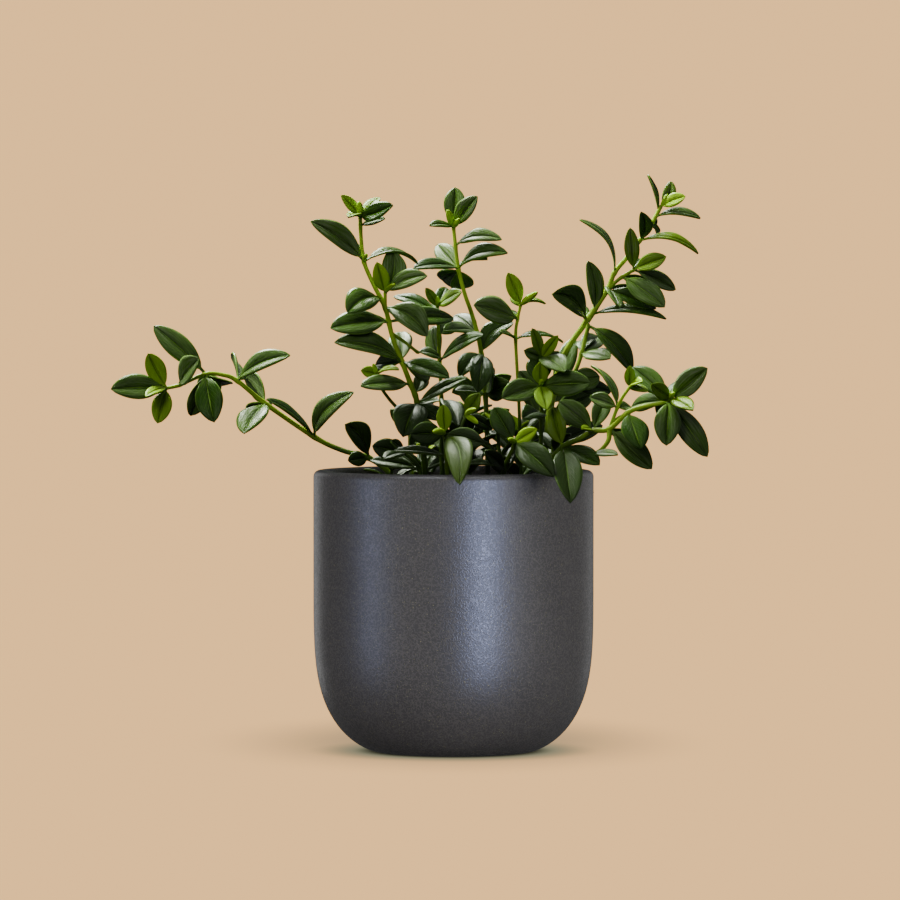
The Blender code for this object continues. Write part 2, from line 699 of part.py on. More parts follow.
def turned(name, profile, sides):
    """A closed solid turned about Z from a profile that starts and ends on the axis."""
    bm = bmesh.new()
    line = [bm.verts.new((x * MM, 0.0, z * MM)) for x, z in profile]
    edges = [bm.edges.new(pair) for pair in zip(line, line[1:])]
    bmesh.ops.spin(bm, geom=line + edges, cent=(0, 0, 0), axis=(0, 0, 1), angle=2 * math.pi,
                   steps=sides, use_merge=True)
    bmesh.ops.remove_doubles(bm, verts=bm.verts, dist=0.01 * MM)
    bmesh.ops.recalc_face_normals(bm, faces=bm.faces)
    mesh = bpy.data.meshes.new(name)
    bm.to_mesh(mesh)
    bm.free()
    mesh.shade_smooth()
    mesh.set_sharp_from_angle(angle=SHARP_ANGLE)
    thing = bpy.data.objects.new(name, mesh)
    bpy.context.scene.collection.objects.link(thing)
    return thing


def build_pot():
    pot = turned("pot", pot_profile(), POT_SIDES)
    pot.data.materials.append(material("glaze", GLAZE_COLOUR, GLAZE_ROUGHNESS))


def build_soil(stems):
    soil = turned("soil", soil_profile(), SOIL_SIDES)
    holes = new_parts()
    for shoots in stems.values():
        x, y, z = shoots[0].route[0]
        radius = (shoots[0].radii[0] + FIT_GAP) / math.cos(math.pi / HOLE_SIDES)
        bm = bmesh.new()
        depth = ROOT_DEPTH + FIT_GAP
        place = Matrix.Translation(Vector((x, y, SOIL_TOP)) * MM)
        bmesh.ops.create_cone(bm, cap_ends=True, segments=HOLE_SIDES, radius1=radius * MM,
                              radius2=radius * MM, depth=2 * depth * MM, matrix=place)
        mesh = bpy.data.meshes.new("hole")
        bm.to_mesh(mesh)
        bm.free()
        holes.objects.link(bpy.data.objects.new("hole", mesh))
    combine(soil, holes, "DIFFERENCE")
    soil.data.materials.clear()
    soil.data.materials.append(material("earth", EARTH_COLOUR, EARTH_ROUGHNESS))


def build_stem(name, shoots, foliage):
    shapes = stem_shapes(shoots)
    body = mesh_object(name, *shapes[0], bpy.context.scene.collection)
    parts = new_parts()
    for number, (points, faces) in enumerate(shapes[1:]):
        mesh_object(f"part_{number}", points, faces, parts)
    combine(body, parts, "UNION")
    body.data.materials.clear()
    body.data.materials.append(foliage)


def main():
    for thing in list(bpy.data.objects):
        bpy.data.objects.remove(thing, do_unlink=True)
    stems = plant()
    build_pot()
    build_soil(stems)
    foliage = material("foliage", FOLIAGE_COLOUR, FOLIAGE_ROUGHNESS)
    for name, shoots in stems.items():
        build_stem(name, shoots, foliage)


if __name__ == "__main__":
    main()
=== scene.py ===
"""A goldfish plant in a turned pot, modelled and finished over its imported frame.

The frame has +Z up, its origin at the middle of the pot's underside, and -Y towards the front.
The growth plan is given in millimetres; the sizes in the property groups are in metres.
"""
import json
import math
import random
from collections import namedtuple

import bmesh
import bpy
import numpy as np
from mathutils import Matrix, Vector

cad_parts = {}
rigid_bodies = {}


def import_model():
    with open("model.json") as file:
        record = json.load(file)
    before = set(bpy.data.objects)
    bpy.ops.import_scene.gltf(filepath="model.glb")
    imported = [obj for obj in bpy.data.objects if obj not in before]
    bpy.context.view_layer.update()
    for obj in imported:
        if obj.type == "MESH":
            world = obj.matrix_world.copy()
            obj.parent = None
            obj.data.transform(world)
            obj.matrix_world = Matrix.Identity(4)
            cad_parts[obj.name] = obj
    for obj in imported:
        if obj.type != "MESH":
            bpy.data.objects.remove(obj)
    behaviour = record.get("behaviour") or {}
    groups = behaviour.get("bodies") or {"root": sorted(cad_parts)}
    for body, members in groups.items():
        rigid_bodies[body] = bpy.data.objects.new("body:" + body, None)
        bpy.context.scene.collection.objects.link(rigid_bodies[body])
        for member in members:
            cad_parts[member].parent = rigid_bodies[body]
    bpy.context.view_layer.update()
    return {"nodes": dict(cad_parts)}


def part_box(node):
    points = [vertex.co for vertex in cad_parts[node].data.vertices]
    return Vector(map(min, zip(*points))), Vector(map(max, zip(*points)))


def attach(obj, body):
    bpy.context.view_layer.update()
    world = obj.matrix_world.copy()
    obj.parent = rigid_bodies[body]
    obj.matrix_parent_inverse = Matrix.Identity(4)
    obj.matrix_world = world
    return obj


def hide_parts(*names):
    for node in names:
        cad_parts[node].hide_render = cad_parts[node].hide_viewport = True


bl_info = {
    "name": "Potted goldfish plant",
    "version": (1, 0, 0),
    "blender": (4, 5, 0),
    "location": "3D View > Sidebar > Plant",
    "description": "Models the pot, the soil and each leafy stem of a goldfish plant",
    "category": "Add Mesh",
}

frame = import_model()
SOIL_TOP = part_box("soil")[1].z
POT_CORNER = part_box("pot")[1]
MM = 0.001

# Growth in depth, seen from a place in front of the pot
SIGHT_DISTANCE = 3000.0
SIGHT_HEIGHT = 245.0
DEPTH_SPREAD = 1.7

# Growth that follows a rule
PAIR_SPREAD = math.radians(32.0)
CROWN_SPREAD = math.radians(62.0)
CROWN_SHARE = 0.45
CROWN_YOUTH = 0.6
LEAF_SLIMNESS = 0.47
TAPER = 0.35
PAIR_ARCH = 0.1
SHOOT_RADII = (1.3, 0.9)
TURN_AXIS = Vector((0.0, 1.0, 0.2))
BACK_REACH = 0.6
BACK_DEPTH = 14.0
BACK_STEP = 2
BACK_WIDTH = 0.85
BACK_TURN = 0.5
BACK_ARCH = 0.12
ROOT_DEPTH = 16.0
BUD_WIDTH = 4.0

Leaf = namedtuple("Leaf", "at tip width face arch curl youth")
Shoot = namedtuple("Shoot", "route radii leaves")


def leaf(at, x, y, z, width, turn=0, lean=30, arch=0.05, curl=0.0, youth=0.0):
    """A leaf that grows at a point of its shoot's route and ends at the tip x, y, z.

    Its face looks forwards, turned to the right by turn and up by lean, in degrees. Its
    midrib bows towards its face by arch and to its right by curl, as shares of its length.
    Youth runs from 0 for a dark leaf to 1 for a bud.
    """
    t = math.radians(turn)
    e = math.radians(lean)
    face = (math.sin(t) * math.cos(e), -math.cos(t) * math.cos(e), math.sin(e))
    return Leaf(at, (x, y, z), width, face, arch, curl, youth)


def place_on(route, at):
    """The point of a route that lies at a whole or part count of its steps."""
    i = min(int(at), len(route) - 2)
    return Vector(route[i]).lerp(Vector(route[i + 1]), at - i)


def set_back(shoots, lean, swing):
    """Give a stem its depth, and keep its outline as seen from the front.

    Each point moves back by a share of its height and of its distance from the root, along
    its line of sight, and the leaves reach further forwards and backwards.
    """
    root = shoots[0].route[0]

    def moved(x, y, z):
        back = lean * (z - root[2]) + swing * abs(x - root[0])
        scale = (SIGHT_DISTANCE + y + back) / (SIGHT_DISTANCE + y)
        return (x * scale, y + back, SIGHT_HEIGHT + (z - SIGHT_HEIGHT) * scale)

    result = []
    for shoot in shoots:
        leaves = []
        for item in shoot.leaves:
            x, y, z = item.tip
            near = place_on(shoot.route, item.at).y
            leaves.append(item._replace(tip=moved(x, near + (y - near) * DEPTH_SPREAD, z)))
        result.append(Shoot([moved(*point) for point in shoot.route], shoot.radii, leaves))
    return result


def with_back_leaves(route, leaves, numbers):
    """These leaves, and behind the numbered ones another that grows backwards, out of sight."""
    back = []
    for k in numbers:
        item = leaves[k]
        root = place_on(route, item.at)
        out = (Vector(item.tip) - root) * BACK_REACH
        tip = (root.x + out.x, root.y + BACK_DEPTH - BACK_STEP * (k % 3), root.z + out.z)
        face = (item.face[0] * BACK_TURN, BACK_TURN, 1.0)
        back.append(Leaf(item.at, tip, item.width * BACK_WIDTH, face, BACK_ARCH, 0.0, 0.0))
    return leaves + back


def paired_leaves(route, length, first, turn):
    """Opposite pairs from a first point to the end, each a quarter turn on from the last.

    A smaller, steeper and younger pair ends the shoot.
    """
    leaves = []
    last = len(route) - 1
    places = [(at, 1 - TAPER * at / last, PAIR_SPREAD, 0.0) for at in range(first, last + 1)]
    places.append((last, CROWN_SHARE, CROWN_SPREAD, CROWN_YOUTH))
    for k, (at, share, spread, youth) in enumerate(places):
        here = Vector(route[at])
        along = (here - Vector(route[at - 1])).normalized()
        side = along.cross(TURN_AXIS).normalized()
        other = along.cross(side)
        for half in (0, 1):
            angle = math.radians(turn) + math.pi * (k / 2 + half)
            out = side * math.cos(angle) + other * math.sin(angle)
            tip = here + (out * math.cos(spread) + along * math.sin(spread)) * length * share
            face = along * math.cos(spread) - out * math.sin(spread)
            width = LEAF_SLIMNESS * length * share
            leaves.append(Leaf(at, tuple(tip), width, tuple(face), PAIR_ARCH, 0.0, youth))
    return leaves


# The stems that the photograph shows. Each has its slope back, by its height and by its distance to
# the side, and its shoots, the first one from the soil. A shoot has its radius at root and tip, the
# points of its route, its leaves as leaf() takes them, and which of these have another behind them.
SEEN_STEMS = {
    "left_trailing": (0.0, -0.15, [((1.5, 0.9), [
        (-24, 14, 125), (-32, 19, 138), (-43, 22, 146), (-56, 26, 149.5), (-70, 29, 156),
        (-95, 30, 173), (-109, 28, 184.5), (-116, 26.5, 187.5), (-125, 25, 188), (-138, 22, 182.5),
        (-144.5, 20, 181),
    ], [
        (2, -54.5, 16, 163, 13.5, 30, 20, 0.05, 0.12), (2, -53, 20, 144.5, 8, 0, 15),
        (4, -50, 20, 179, 12, -20, 30, 0.24), (4, -94, 21, 175.5, 11, 30, 62),
        (5, -105, 15, 158.5, 15.5, -20, 35), (5, -107, 44, 188, 13, 150, 20),
        (6, -82, 20, 197.5, 12.5, 0, 45, 0.13), (6, -113, 44, 196, 13, 170, 30),
        (8, -120, 16, 164, 14, -10, 10), (8, -133, 30, 167, 12, 30, 10),
        (8, -113, 38, 183, 10, -20, -20), (8, -151.5, 30, 212, 13, 15, 25),
        (9, -127, 12, 196, 14, -25, 25), (10, -172, 16, 180.5, 14, 0, 25),
        (10, -153.5, 17, 198.5, 10, 15, 5, -0.05, 0, 0.6),
        (10, -154, 8, 177, 6, 0, 40, 0.05, 0, 0.6),
        (10, -148.5, 14, 163.5, 10, 5, 15, 0.05, 0, 0.4),
    ], (4, 8, 13))]),
    "left_tall": (-0.12, 0.0, [((1.5, 0.9), [
        (-13, -12, 125), (-15, -13, 150), (-18, -14, 174), (-21.3, -14, 183.5), (-25.5, -13, 194.5),
        (-30.5, -12, 207.5), (-34, -11, 221.5), (-39.7, -10, 233), (-44.6, -9, 244.5),
        (-46, -8, 255.5), (-46.5, -8, 267),
    ], [
        (2, -25, -28, 158, 17, 0, 35, 0.12), (2, -7, -22, 166, 9, 10, 25),
        (2, 7, -18, 187, 9, 0, 50), (3, -46, -24, 183, 11, 0, 40),
        (4, -59, -20, 204.5, 14, 0, 43, 0.14), (4, -2, -24, 187, 11, 10, 35),
        (4, -12, -4, 187, 11, 0, 20), (4, -39, -2, 192.5, 10, 0, 20),
        (5.5, -61, -18, 211.5, 15, 0, 35, 0.06), (5.5, 0, 4, 216, 12, 0, 35),
        (6.4, -52.5, -20, 219, 15.5, -10, 30, 0.12, 0.08),
        (6, -13, -20, 207.5, 14, 10, 20, 0.09, -0.1), (8, -71, -14, 264.5, 12, 20, 25, 0.06, 0.045),
        (8, -18, 2, 243.5, 9, 0, 72, 0.18), (8, -43, -12, 248.5, 2.4, 0, 30, 0.05, 0, 1),
        (10, -56, -10, 277.5, 6, 10, 30, 0.05, 0, 0.6), (10, -30, -14, 272.5, 10, 0, 30, 0.06, 0.1),
        (9.6, -34, -12, 266, 5, 0, 40), (10, -37, 2, 276.5, 6, 0, 50, 0.05, 0, 0.4),
        (10, -52, -20, 266.5, 6, 0, 78, 0.05, 0, 0.4), (10, -47, -10, 274.5, 4, 0, 0, 0.05, 0, 1),
        (10, -52, 2, 269.5, 5, 0, 30, 0.05, 0, 0.5), (4, -27, 2, 209, 12, 0, 10),
        (2.4, -15, -4, 188, 8, 10, 10),
    ], (4, 8, 11, 12)), ((0.9, 0.8), [
        (-34, -11, 221.5), (-34, -12, 229),
    ], [
        (1, -38, -17, 244.5, 8, 0, 0, 0.05, 0, 0.95), (1, -31, -6, 250.5, 12.5, 0, 5, 0.06, 0.12),
        (1, -13, -16, 237.5, 10.5, 0, 35, 0.06, -0.07),
        (1, -29, -19, 233.5, 2.5, 0, 30, 0.05, 0, 1),
    ], ()), ((1.0, 0.8), [
        (-31, -12, 209), (-25, -8, 205), (-18, -6, 199.5),
    ], [
        (2, -7, -4, 196.5, 8, 0, 55, 0.1),
    ], ()), ((1.0, 0.7), [
        (-16.7, -13.5, 164), (-28, -16, 172), (-36, -16, 182), (-38, -16, 188.5),
    ], [
        (3, -46, -18, 190.5, 6, 0, 20, 0.05, 0, 0.5), (3, -40, -18, 194, 2.5, 0, 30, 0.05, 0, 1),
        (3, -27, -20, 191, 5, 0, 60, 0.12, 0, 0.6),
    ], ())]),
    "middle_left": (0.12, 0.0, [((1.2, 0.8), [
        (-5, 8, 125), (-6, 7, 150), (-6, 6, 175), (-7, 5, 194.5), (-7.5, 4, 208), (-8, 3, 222),
    ], [
        (2, 2, -14, 163, 11, 20, 30, 0.1), (2, -20, 20, 170, 11, 0, 40),
        (3, 15, -10, 208, 12, 0, 42, 0.06, -0.02), (3, -10, 12, 212, 10, -30, 5),
        (4, -1, 14, 213, 9, 20, 30), (4.7, -30, 10, 227, 10, 0, 62, 0.1),
        (5, -14, 0, 231.5, 5, 10, 10, 0.05, 0, 0.3), (5, -8, 1, 227.5, 2.5, 0, 30, 0.05, 0, 1),
        (5, 4, -4, 229.5, 9, 0, 38, 0.05, 0, 0.3), (5, -4, 11, 231.5, 7, 0, 10),
    ], (5,))]),
    "centre": (0.18, 0.0, [((1.3, 0.9), [
        (17, 10, 125), (17, 10, 150), (16, 9, 178), (14, 8, 198), (12, 7, 208.5), (9, 6, 219),
        (5.5, 5, 229), (2.5, 4, 241), (1, 3, 252.5), (0, 3, 262),
    ], [
        (2, 19, -2, 191.5, 9, 80, 0), (2, 29, 2, 183.5, 12, 0, 10), (2, 1, 2, 180, 8, 0, 60),
        (3, 30, 10, 214, 11.5, -20, 38, 0.05, -0.18), (3, 3, -4, 187, 10.5, -10, 30, 0.12),
        (3, 12, -8, 179.5, 12, 10, 30, 0.12), (4, -5, -9, 210, 11, 0, 45),
        (4, 1, 18, 217.5, 10, 0, 40), (7, 27, -4, 248.8, 10.5, 0, 45, 0.15, -0.05),
        (7, -20, -8, 241, 10, 0, 50, 0.08), (7, -8, 14, 253, 10, 0, 10),
        (7, 5, 15, 231.5, 12, 0, -10), (7, -5.5, 16, 235.5, 11, 0, -10),
        (8, 24, -2, 255.5, 10, 0, 50, 0.17), (9, 1, 6, 281.5, 11, 0, 0),
        (9, 12, -3, 277, 10, -25, 15), (9, -12, -3, 262.5, 6, 0, 50),
        (9, -3, -3, 270.5, 4, 0, 0, 0.05, 0, 1), (9, 3, -3, 266, 3, 0, 0, 0.05, 0, 1),
    ], (3, 8, 9))]),
    "thin_upright": (-0.12, 0.0, [((0.9, 0.75), [
        (34, -2, 125), (33.5, -2, 150), (32.5, -2, 178), (31, -3, 206), (32, -3, 216),
        (33.5, -3, 223),
    ], [
        (3, 55, 6, 204, 8, 0, 70, 0.13), (3, 23, -10, 209.5, 6, 0, 50),
        (4, 10, -12, 223, 15, -5, 25), (5, 27, -5, 239, 8.5, 20, 0, 0.05, 0, 0.7),
        (5, 42, -5, 229.5, 3.5, 0, 30, 0.05, 0, 1), (5, 46, -1, 223.5, 6, 0, 78, 0.15, 0, 0.3),
        (5, 29, 4, 226, 4, 0, 30, 0.05, 0, 0.4),
    ], (2,))]),
    "two_rosettes": (-0.1, 0.0, [((1.2, 0.9), [
        (43, -12, 125), (43.5, -11, 150), (44, -9, 175), (44, -8, 196.5),
    ], [
        (1.7, 34, -26, 167, 11, 0, 30, 0.09), (3, 35, -12, 200.5, 7, 0, 10),
        (3, 39, -12, 211.5, 6, 20, 0, 0.05, 0, 0.2), (3, 52, -12, 208, 6, 0, 10, 0.05, 0, 0.5),
        (3, 55, -22, 190, 13, 0, 50, 0.09), (2, 33, -6, 190, 10, 0, 15),
    ], (4,)), ((1.0, 0.9), [
        (44, -9.3, 172), (43.5, -16, 180), (43.3, -20, 183),
    ], [
        (2, 43, -22, 195, 8, 0, 5, 0.05, 0, 0.45), (2, 24, -28, 177, 13, 0, 25),
        (2, 68, -26, 184.5, 13.5, 0, 15), (2, 46, -30, 171.5, 9.5, 0, 25, 0.05, 0, 0.35),
        (2, 42, -14, 197.5, 13, 0, 5), (2, 44, -24, 186, 2.5, 0, 30, 0.05, 0, 1),
    ], (2,))]),
    "right_tall": (0.08, 0.3, [((1.7, 0.9), [
        (44, 12, 125), (46, 13, 150), (50, 12, 178), (55.5, 10, 198), (66.5, 8, 214.5),
        (77, 6, 230.5), (80.5, 5, 239), (87, 4, 247), (93, 3, 255), (99.5, 2, 264.5),
        (103.5, 1, 272),
    ], [
        (4, 49, -2, 228.5, 14, -10, 25, 0.05, 0.14), (4.3, 67, 4, 245, 10, 30, 15, 0.06, 0.08),
        (4.2, 106, -2, 216, 8, 0, 58, 0.09, -0.05), (5, 82, -10, 222, 11, 30, 10, 0.06, 0.05),
        (5, 101, 0, 221, 10, 0, 40), (6, 63, 2, 265.5, 10, 68, 42, 0.19),
        (8, 93.5, 0, 269.5, 7.5, 20, 10, 0.06, 0.15), (8, 122, -2, 248.5, 9.5, 0, 70, 0.16, 0, 0.3),
        (9, 102, 10, 259, 5), (9.3, 123, -4, 266, 7.5, 0, 62, 0.13), (9.7, 97, 2, 288, 6, 75, 10),
        (10, 109, 4, 284.5, 6.5, 0, 0, 0.06, 0.08, 0.1),
        (10, 115.5, -4, 277, 7.5, 0, 35, 0.05, 0, 0.9), (10, 107, 0, 278.5, 2, 0, 30, 0.05, 0, 1),
        (2, 61, 22, 206, 10, 0, 10), (1.6, 70, 18, 178, 11, 0, 10), (1.1, 75, 20, 162, 10, 0, 10),
    ], (0, 4, 8)), ((1.0, 0.9), [
        (77, 6, 230.5), (83, 3, 236), (90, 1, 240.5),
    ], [
        (1.2, 105, -8, 222, 13, 20, 20), (2, 111, 4, 230.5, 9, 0, 30),
        (2, 106, -4, 247, 9, 0, 25, 0.05, 0, 0.3), (2, 88, -4, 261.5, 7.5, 0, 5, 0.05, 0, 0.15),
    ], (0, 2)), ((1.2, 1.0), [
        (50, 12, 178), (57, 5, 183), (61, 3, 190), (64, 3, 198.5), (67.5, 3, 212.5),
    ], [
        (1, 73, 6, 187, 12, 0, 15), (1, 79, 10, 179.5, 9, 0, 20), (3, 78, -9, 196.5, 11, 20, 30),
        (3, 73, 16, 206.5, 11, 0, 20), (4, 89, 0, 189.5, 14, 40, 25, 0.18, 0.06),
    ], (3,))]),
    "right_trailing": (0.0, -0.35, [((1.6, 1.1), [
        (40, -26, 125), (45, -30, 142), (54, -34, 153), (62, -35, 157), (69, -35, 161),
        (77, -35, 162), (86, -34, 170), (94, -32, 173), (104, -30, 175), (107.5, -29, 176.5),
    ], [
        (2, 57, -58, 127, 14.5, 5, 20), (2, 72, -40, 144.5, 11, 0, 42),
        (2, 49, -30, 172.5, 11, -20, 10, 0.05, 0, 0.2), (4, 76, -24, 178, 9, 0, 10),
        (4, 52, -36, 175.5, 12, 10, 15), (4, 63, -41, 162.5, 4.5, 0, 45, 0.05, 0, 0.4),
        (5, 98, -32, 142, 13, 20, 20, 0.05, 0.03), (6, 92, -42, 152.5, 13.5, 10, 20),
        (6, 78, -26, 161, 6, 0, 60), (8.6, 104.8, -38, 154, 13, 0, 15),
        (8.4, 125.8, -26, 147.8, 12.5, 10, 20), (8.5, 89, -24, 192, 12, 10, 20),
        (8.3, 89, -18, 172.5, 10, 0, 20), (9, 125.5, -32, 192, 12, 0, 20),
        (9, 97, -38, 184, 8, -10, 20, 0.05, 0, 0.15),
        (9, 117.8, -40, 171.5, 9, 0, 40, 0.05, 0, 0.3), (9, 109, -32, 180, 3, 0, 30, 0.05, 0, 0.9),
    ], (6, 9, 13)), ((0.9, 0.8), [
        (77, -35, 162), (81, -33, 172.5), (83.5, -33, 177.5), (87, -33, 182.5),
    ], [
        (1, 67, -38, 177.5, 9, 0, 40), (1, 68, -28, 193, 9, 62, 30, 0.12), (1, 88, -26, 172, 6),
        (3, 87, -36, 193.5, 5.5, 0, 0, 0.05, 0, 0.4), (3, 93, -40, 185.5, 6, 0, 30, 0.05, 0, 1),
        (3, 96, -36, 181, 4, 0, 70, 0.05, 0, 0.3),
    ], ()), ((1.4, 0.8), [
        (77, -35, 162), (76.5, -37, 156.5), (73, -38, 152), (68.5, -38, 149.5),
    ], [
        (3, 81, -42, 149.5, 6, 0, 50),
    ], ())]),
    "front_rosette": (0.0, 0.0, [((1.2, 0.9), [
        (-3, -34, 125), (-3, -40, 142), (-4, -47, 154), (-4.3, -50, 160),
    ], [
        (1.5, -29, -46, 151.5, 7, 0, 60), (2.6, 3, -76, 136.5, 13.5, -10, 25, 0.1, -0.1, 0.04),
        (2.6, 2, -54, 149, 7, 0, 30), (3, -5, -50, 174.3, 7.5, 0, 5, 0.05, 0, 0.4),
        (3, 15, -56, 155.5, 10.5, 0, 15), (3, -21, -52, 160, 11.5, 0, 15),
        (3, -10, -60, 161.5, 3.5, 0, 40, 0.05, 0, 0.95),
    ], ()), ((0.9, 0.8), [
        (-3, -40, 142), (2, -36, 158), (6, -32, 168.5),
    ], [
        (2, 13, -34, 179.5, 8, -10, 10, 0.05, 0, 0.15), (2, 11, -40, 172, 3, 0, 30, 0.05, 0, 0.9),
        (2, 12, -39, 165, 3, 0, 30, 0.05, 0, 0.9), (2, 19, -30, 161.5, 9, 0, 50),
    ], ())]),
    "front_right": (0.0, 0.0, [((1.2, 0.9), [
        (24, -34, 125), (25, -38, 142), (29, -44, 152), (30, -46, 155.5),
    ], [
        (1, 7, -54, 145.5, 6, 0, 50), (1, 15, -50, 152, 8, 0, 15),
        (3, 41, -50, 162.3, 7, 0, 20, 0.05, 0, 0.75), (3, 49, -60, 139.5, 14, 0, 25, 0.08),
        (3, 27, -51, 157.5, 3, 0, 30, 0.05, 0, 0.8), (3, 20, -40, 172.5, 11.5, 0, 5),
    ], ())]),
    "left_low": (0.0, 0.0, [((1.1, 0.9), [
        (-16, -30, 125), (-17, -32, 142), (-24, -33, 150),
    ], [
        (1, -41, -26, 146, 8, 0, 40), (2, -40, -34, 153.5, 10.5, -20, 10),
        (2, -34, -44, 147.5, 8, 0, 60), (2, -31, -36, 156, 7, 0, 50),
    ], ())]),
}

# The hidden stems, each with the length of its longest leaf, the first point that bears leaves, the
# first pair's turn, and its route
PAIRED_STEMS = {
    "low_left": (20, 1, 15, [(-31, -12, 125), (-31, -13, 133), (-31, -15, 140)]),
    "low_middle": (27, 1, 80, [(8, -4, 125), (8, -4, 137), (8, -4, 148), (8, -4, 158)]),
    "low_right": (24, 1, 30, [(50, -2, 125), (50, -2, 138), (50, -2, 149), (50, -2, 160)]),
    "low_front": (27, 1, 80, [(24, -14, 125), (24, -15, 137), (23, -16, 147), (22, -17, 159)]),
    "low_centre": (30, 1, 0, [(3, 23, 125), (3, 23, 139), (3, 23, 152), (3, 23, 162)]),
    "low_behind": (22, 1, 80, [(-14, 25, 125), (-14, 23, 133), (-14, 19, 139), (-14, 13, 146)]),
    "low_back": (30, 1, 50, [(33, 23, 125), (33, 22, 133), (33, 19, 144), (33, 15, 155)]),
    "rear_left": (23, 1, 45, [
        (-20, 36, 125), (-21, 40, 137), (-22, 47, 147), (-22, 55, 156), (-21, 63, 163),
    ]),
    "rear_centre": (31, 1, 50, [
        (6, 40, 125), (7, 44, 140), (9, 51, 154), (11, 61, 166), (13, 72, 175),
    ]),
    "rear_right": (30, 1, 10, [
        (31, 38, 125), (34, 42, 139), (39, 49, 152), (44, 59, 163), (48, 70, 171),
    ]),
    "rear_trailing": (33, 3, 40, [
        (-4, 56, 125), (-5, 60, 138), (-6, 70, 147), (-8, 84, 146), (-9, 95, 135), (-10, 101, 120),
        (-10, 104, 105),
    ]),
    "rear_side": (30, 3, 30, [
        (22, 52, 125), (25, 57, 140), (31, 68, 150), (39, 82, 151), (47, 94, 143), (54, 102, 131),
    ]),
}


def plant():
    """Every leafy stem by name, each as a list of its shoots, the first one from the soil."""
    stems = {}
    for name, (lean, swing, rows) in SEEN_STEMS.items():
        shoots = []
        for radii, route, leaves, backed in rows:
            leaves = with_back_leaves(route, [leaf(*row) for row in leaves], backed)
            shoots.append(Shoot(route, radii, leaves))
        stems[name] = set_back(shoots, lean, swing)
    for name, (length, first, turn, route) in PAIRED_STEMS.items():
        stems[name] = [Shoot(route, SHOOT_RADII, paired_leaves(route, length, first, turn))]
    return stems


# Modelling by hand


def nothing_selected():
    if bpy.context.object and bpy.context.object.mode != "OBJECT":
        bpy.ops.object.mode_set(mode="OBJECT")
    bpy.ops.object.select_all(action="DESELECT")


def only(thing):
    """Select one object alone and make it the active one."""
    nothing_selected()
    thing.select_set(True)
    bpy.context.view_layer.objects.active = thing


def pick(test):
    """In edit mode, select the vertices whose place passes a test, and nothing else."""
    bm = bmesh.from_edit_mesh(bpy.context.object.data)
    for vert in bm.verts:
        vert.select_set(bool(test(vert.co)))
    bm.select_flush_mode()
    bmesh.update_edit_mesh(bpy.context.object.data)


def settle(thing, name):
    """Name a finished object and put its place into its mesh."""
    only(thing)
    bpy.ops.object.transform_apply(location=True, rotation=True, scale=True)
    thing.name = name
    thing.data.name = name
    return thing


def joined(things, name):
    nothing_selected()
    for thing in things:
        thing.select_set(True)
    bpy.context.view_layer.objects.active = things[0]
    if len(things) > 1:
        bpy.ops.object.join()
    return settle(bpy.context.object, name)


def copied(blank):
    """A copy of an object with its own mesh."""
    copy = blank.copy()
    copy.data = blank.data.copy()
    bpy.context.scene.collection.objects.link(copy)
    return copy


def apply_modifier(thing, kind, **settings):
    only(thing)
    modifier = thing.modifiers.new(kind.title(), kind)
    for key, value in settings.items():
        setattr(modifier, key, value)
    bpy.ops.object.modifier_apply(modifier=modifier.name)


def give_number(thing, name, values):
    """Store one number for each vertex, for the materials to read."""
    mesh = thing.data
    attribute = mesh.attributes.get(name) or mesh.attributes.new(name, "FLOAT", "POINT")
    attribute.data.foreach_set("value", np.broadcast_to(values, len(mesh.vertices)).astype("f"))


def carry(thing, slot, *nodes):
    """A finished piece takes the place of its frame nodes and moves with the pot."""
    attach(thing, "root")
    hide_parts(*nodes)


# Shader maths


class Amount:
    """A number that changes over a surface; arithmetic on it adds Math nodes."""

    def __init__(self, paint, socket):
        self.paint = paint
        self.socket = socket

    def worked_out(self, operation, first, second):
        return self.paint.node("ShaderNodeMath", {"operation": operation}, {0: first, 1: second})

    def __add__(self, other):
        return self.worked_out("ADD", self, other)

    __radd__ = __add__

    def __sub__(self, other):
        return self.worked_out("SUBTRACT", self, other)

    def __rsub__(self, other):
        return self.worked_out("SUBTRACT", other, self)

    def __mul__(self, other):
        return self.worked_out("MULTIPLY", self, other)

    __rmul__ = __mul__

    def __abs__(self):
        return self.worked_out("ABSOLUTE", self, 0.0)

    def sine(self):
        return self.worked_out("SINE", self, 0.0)


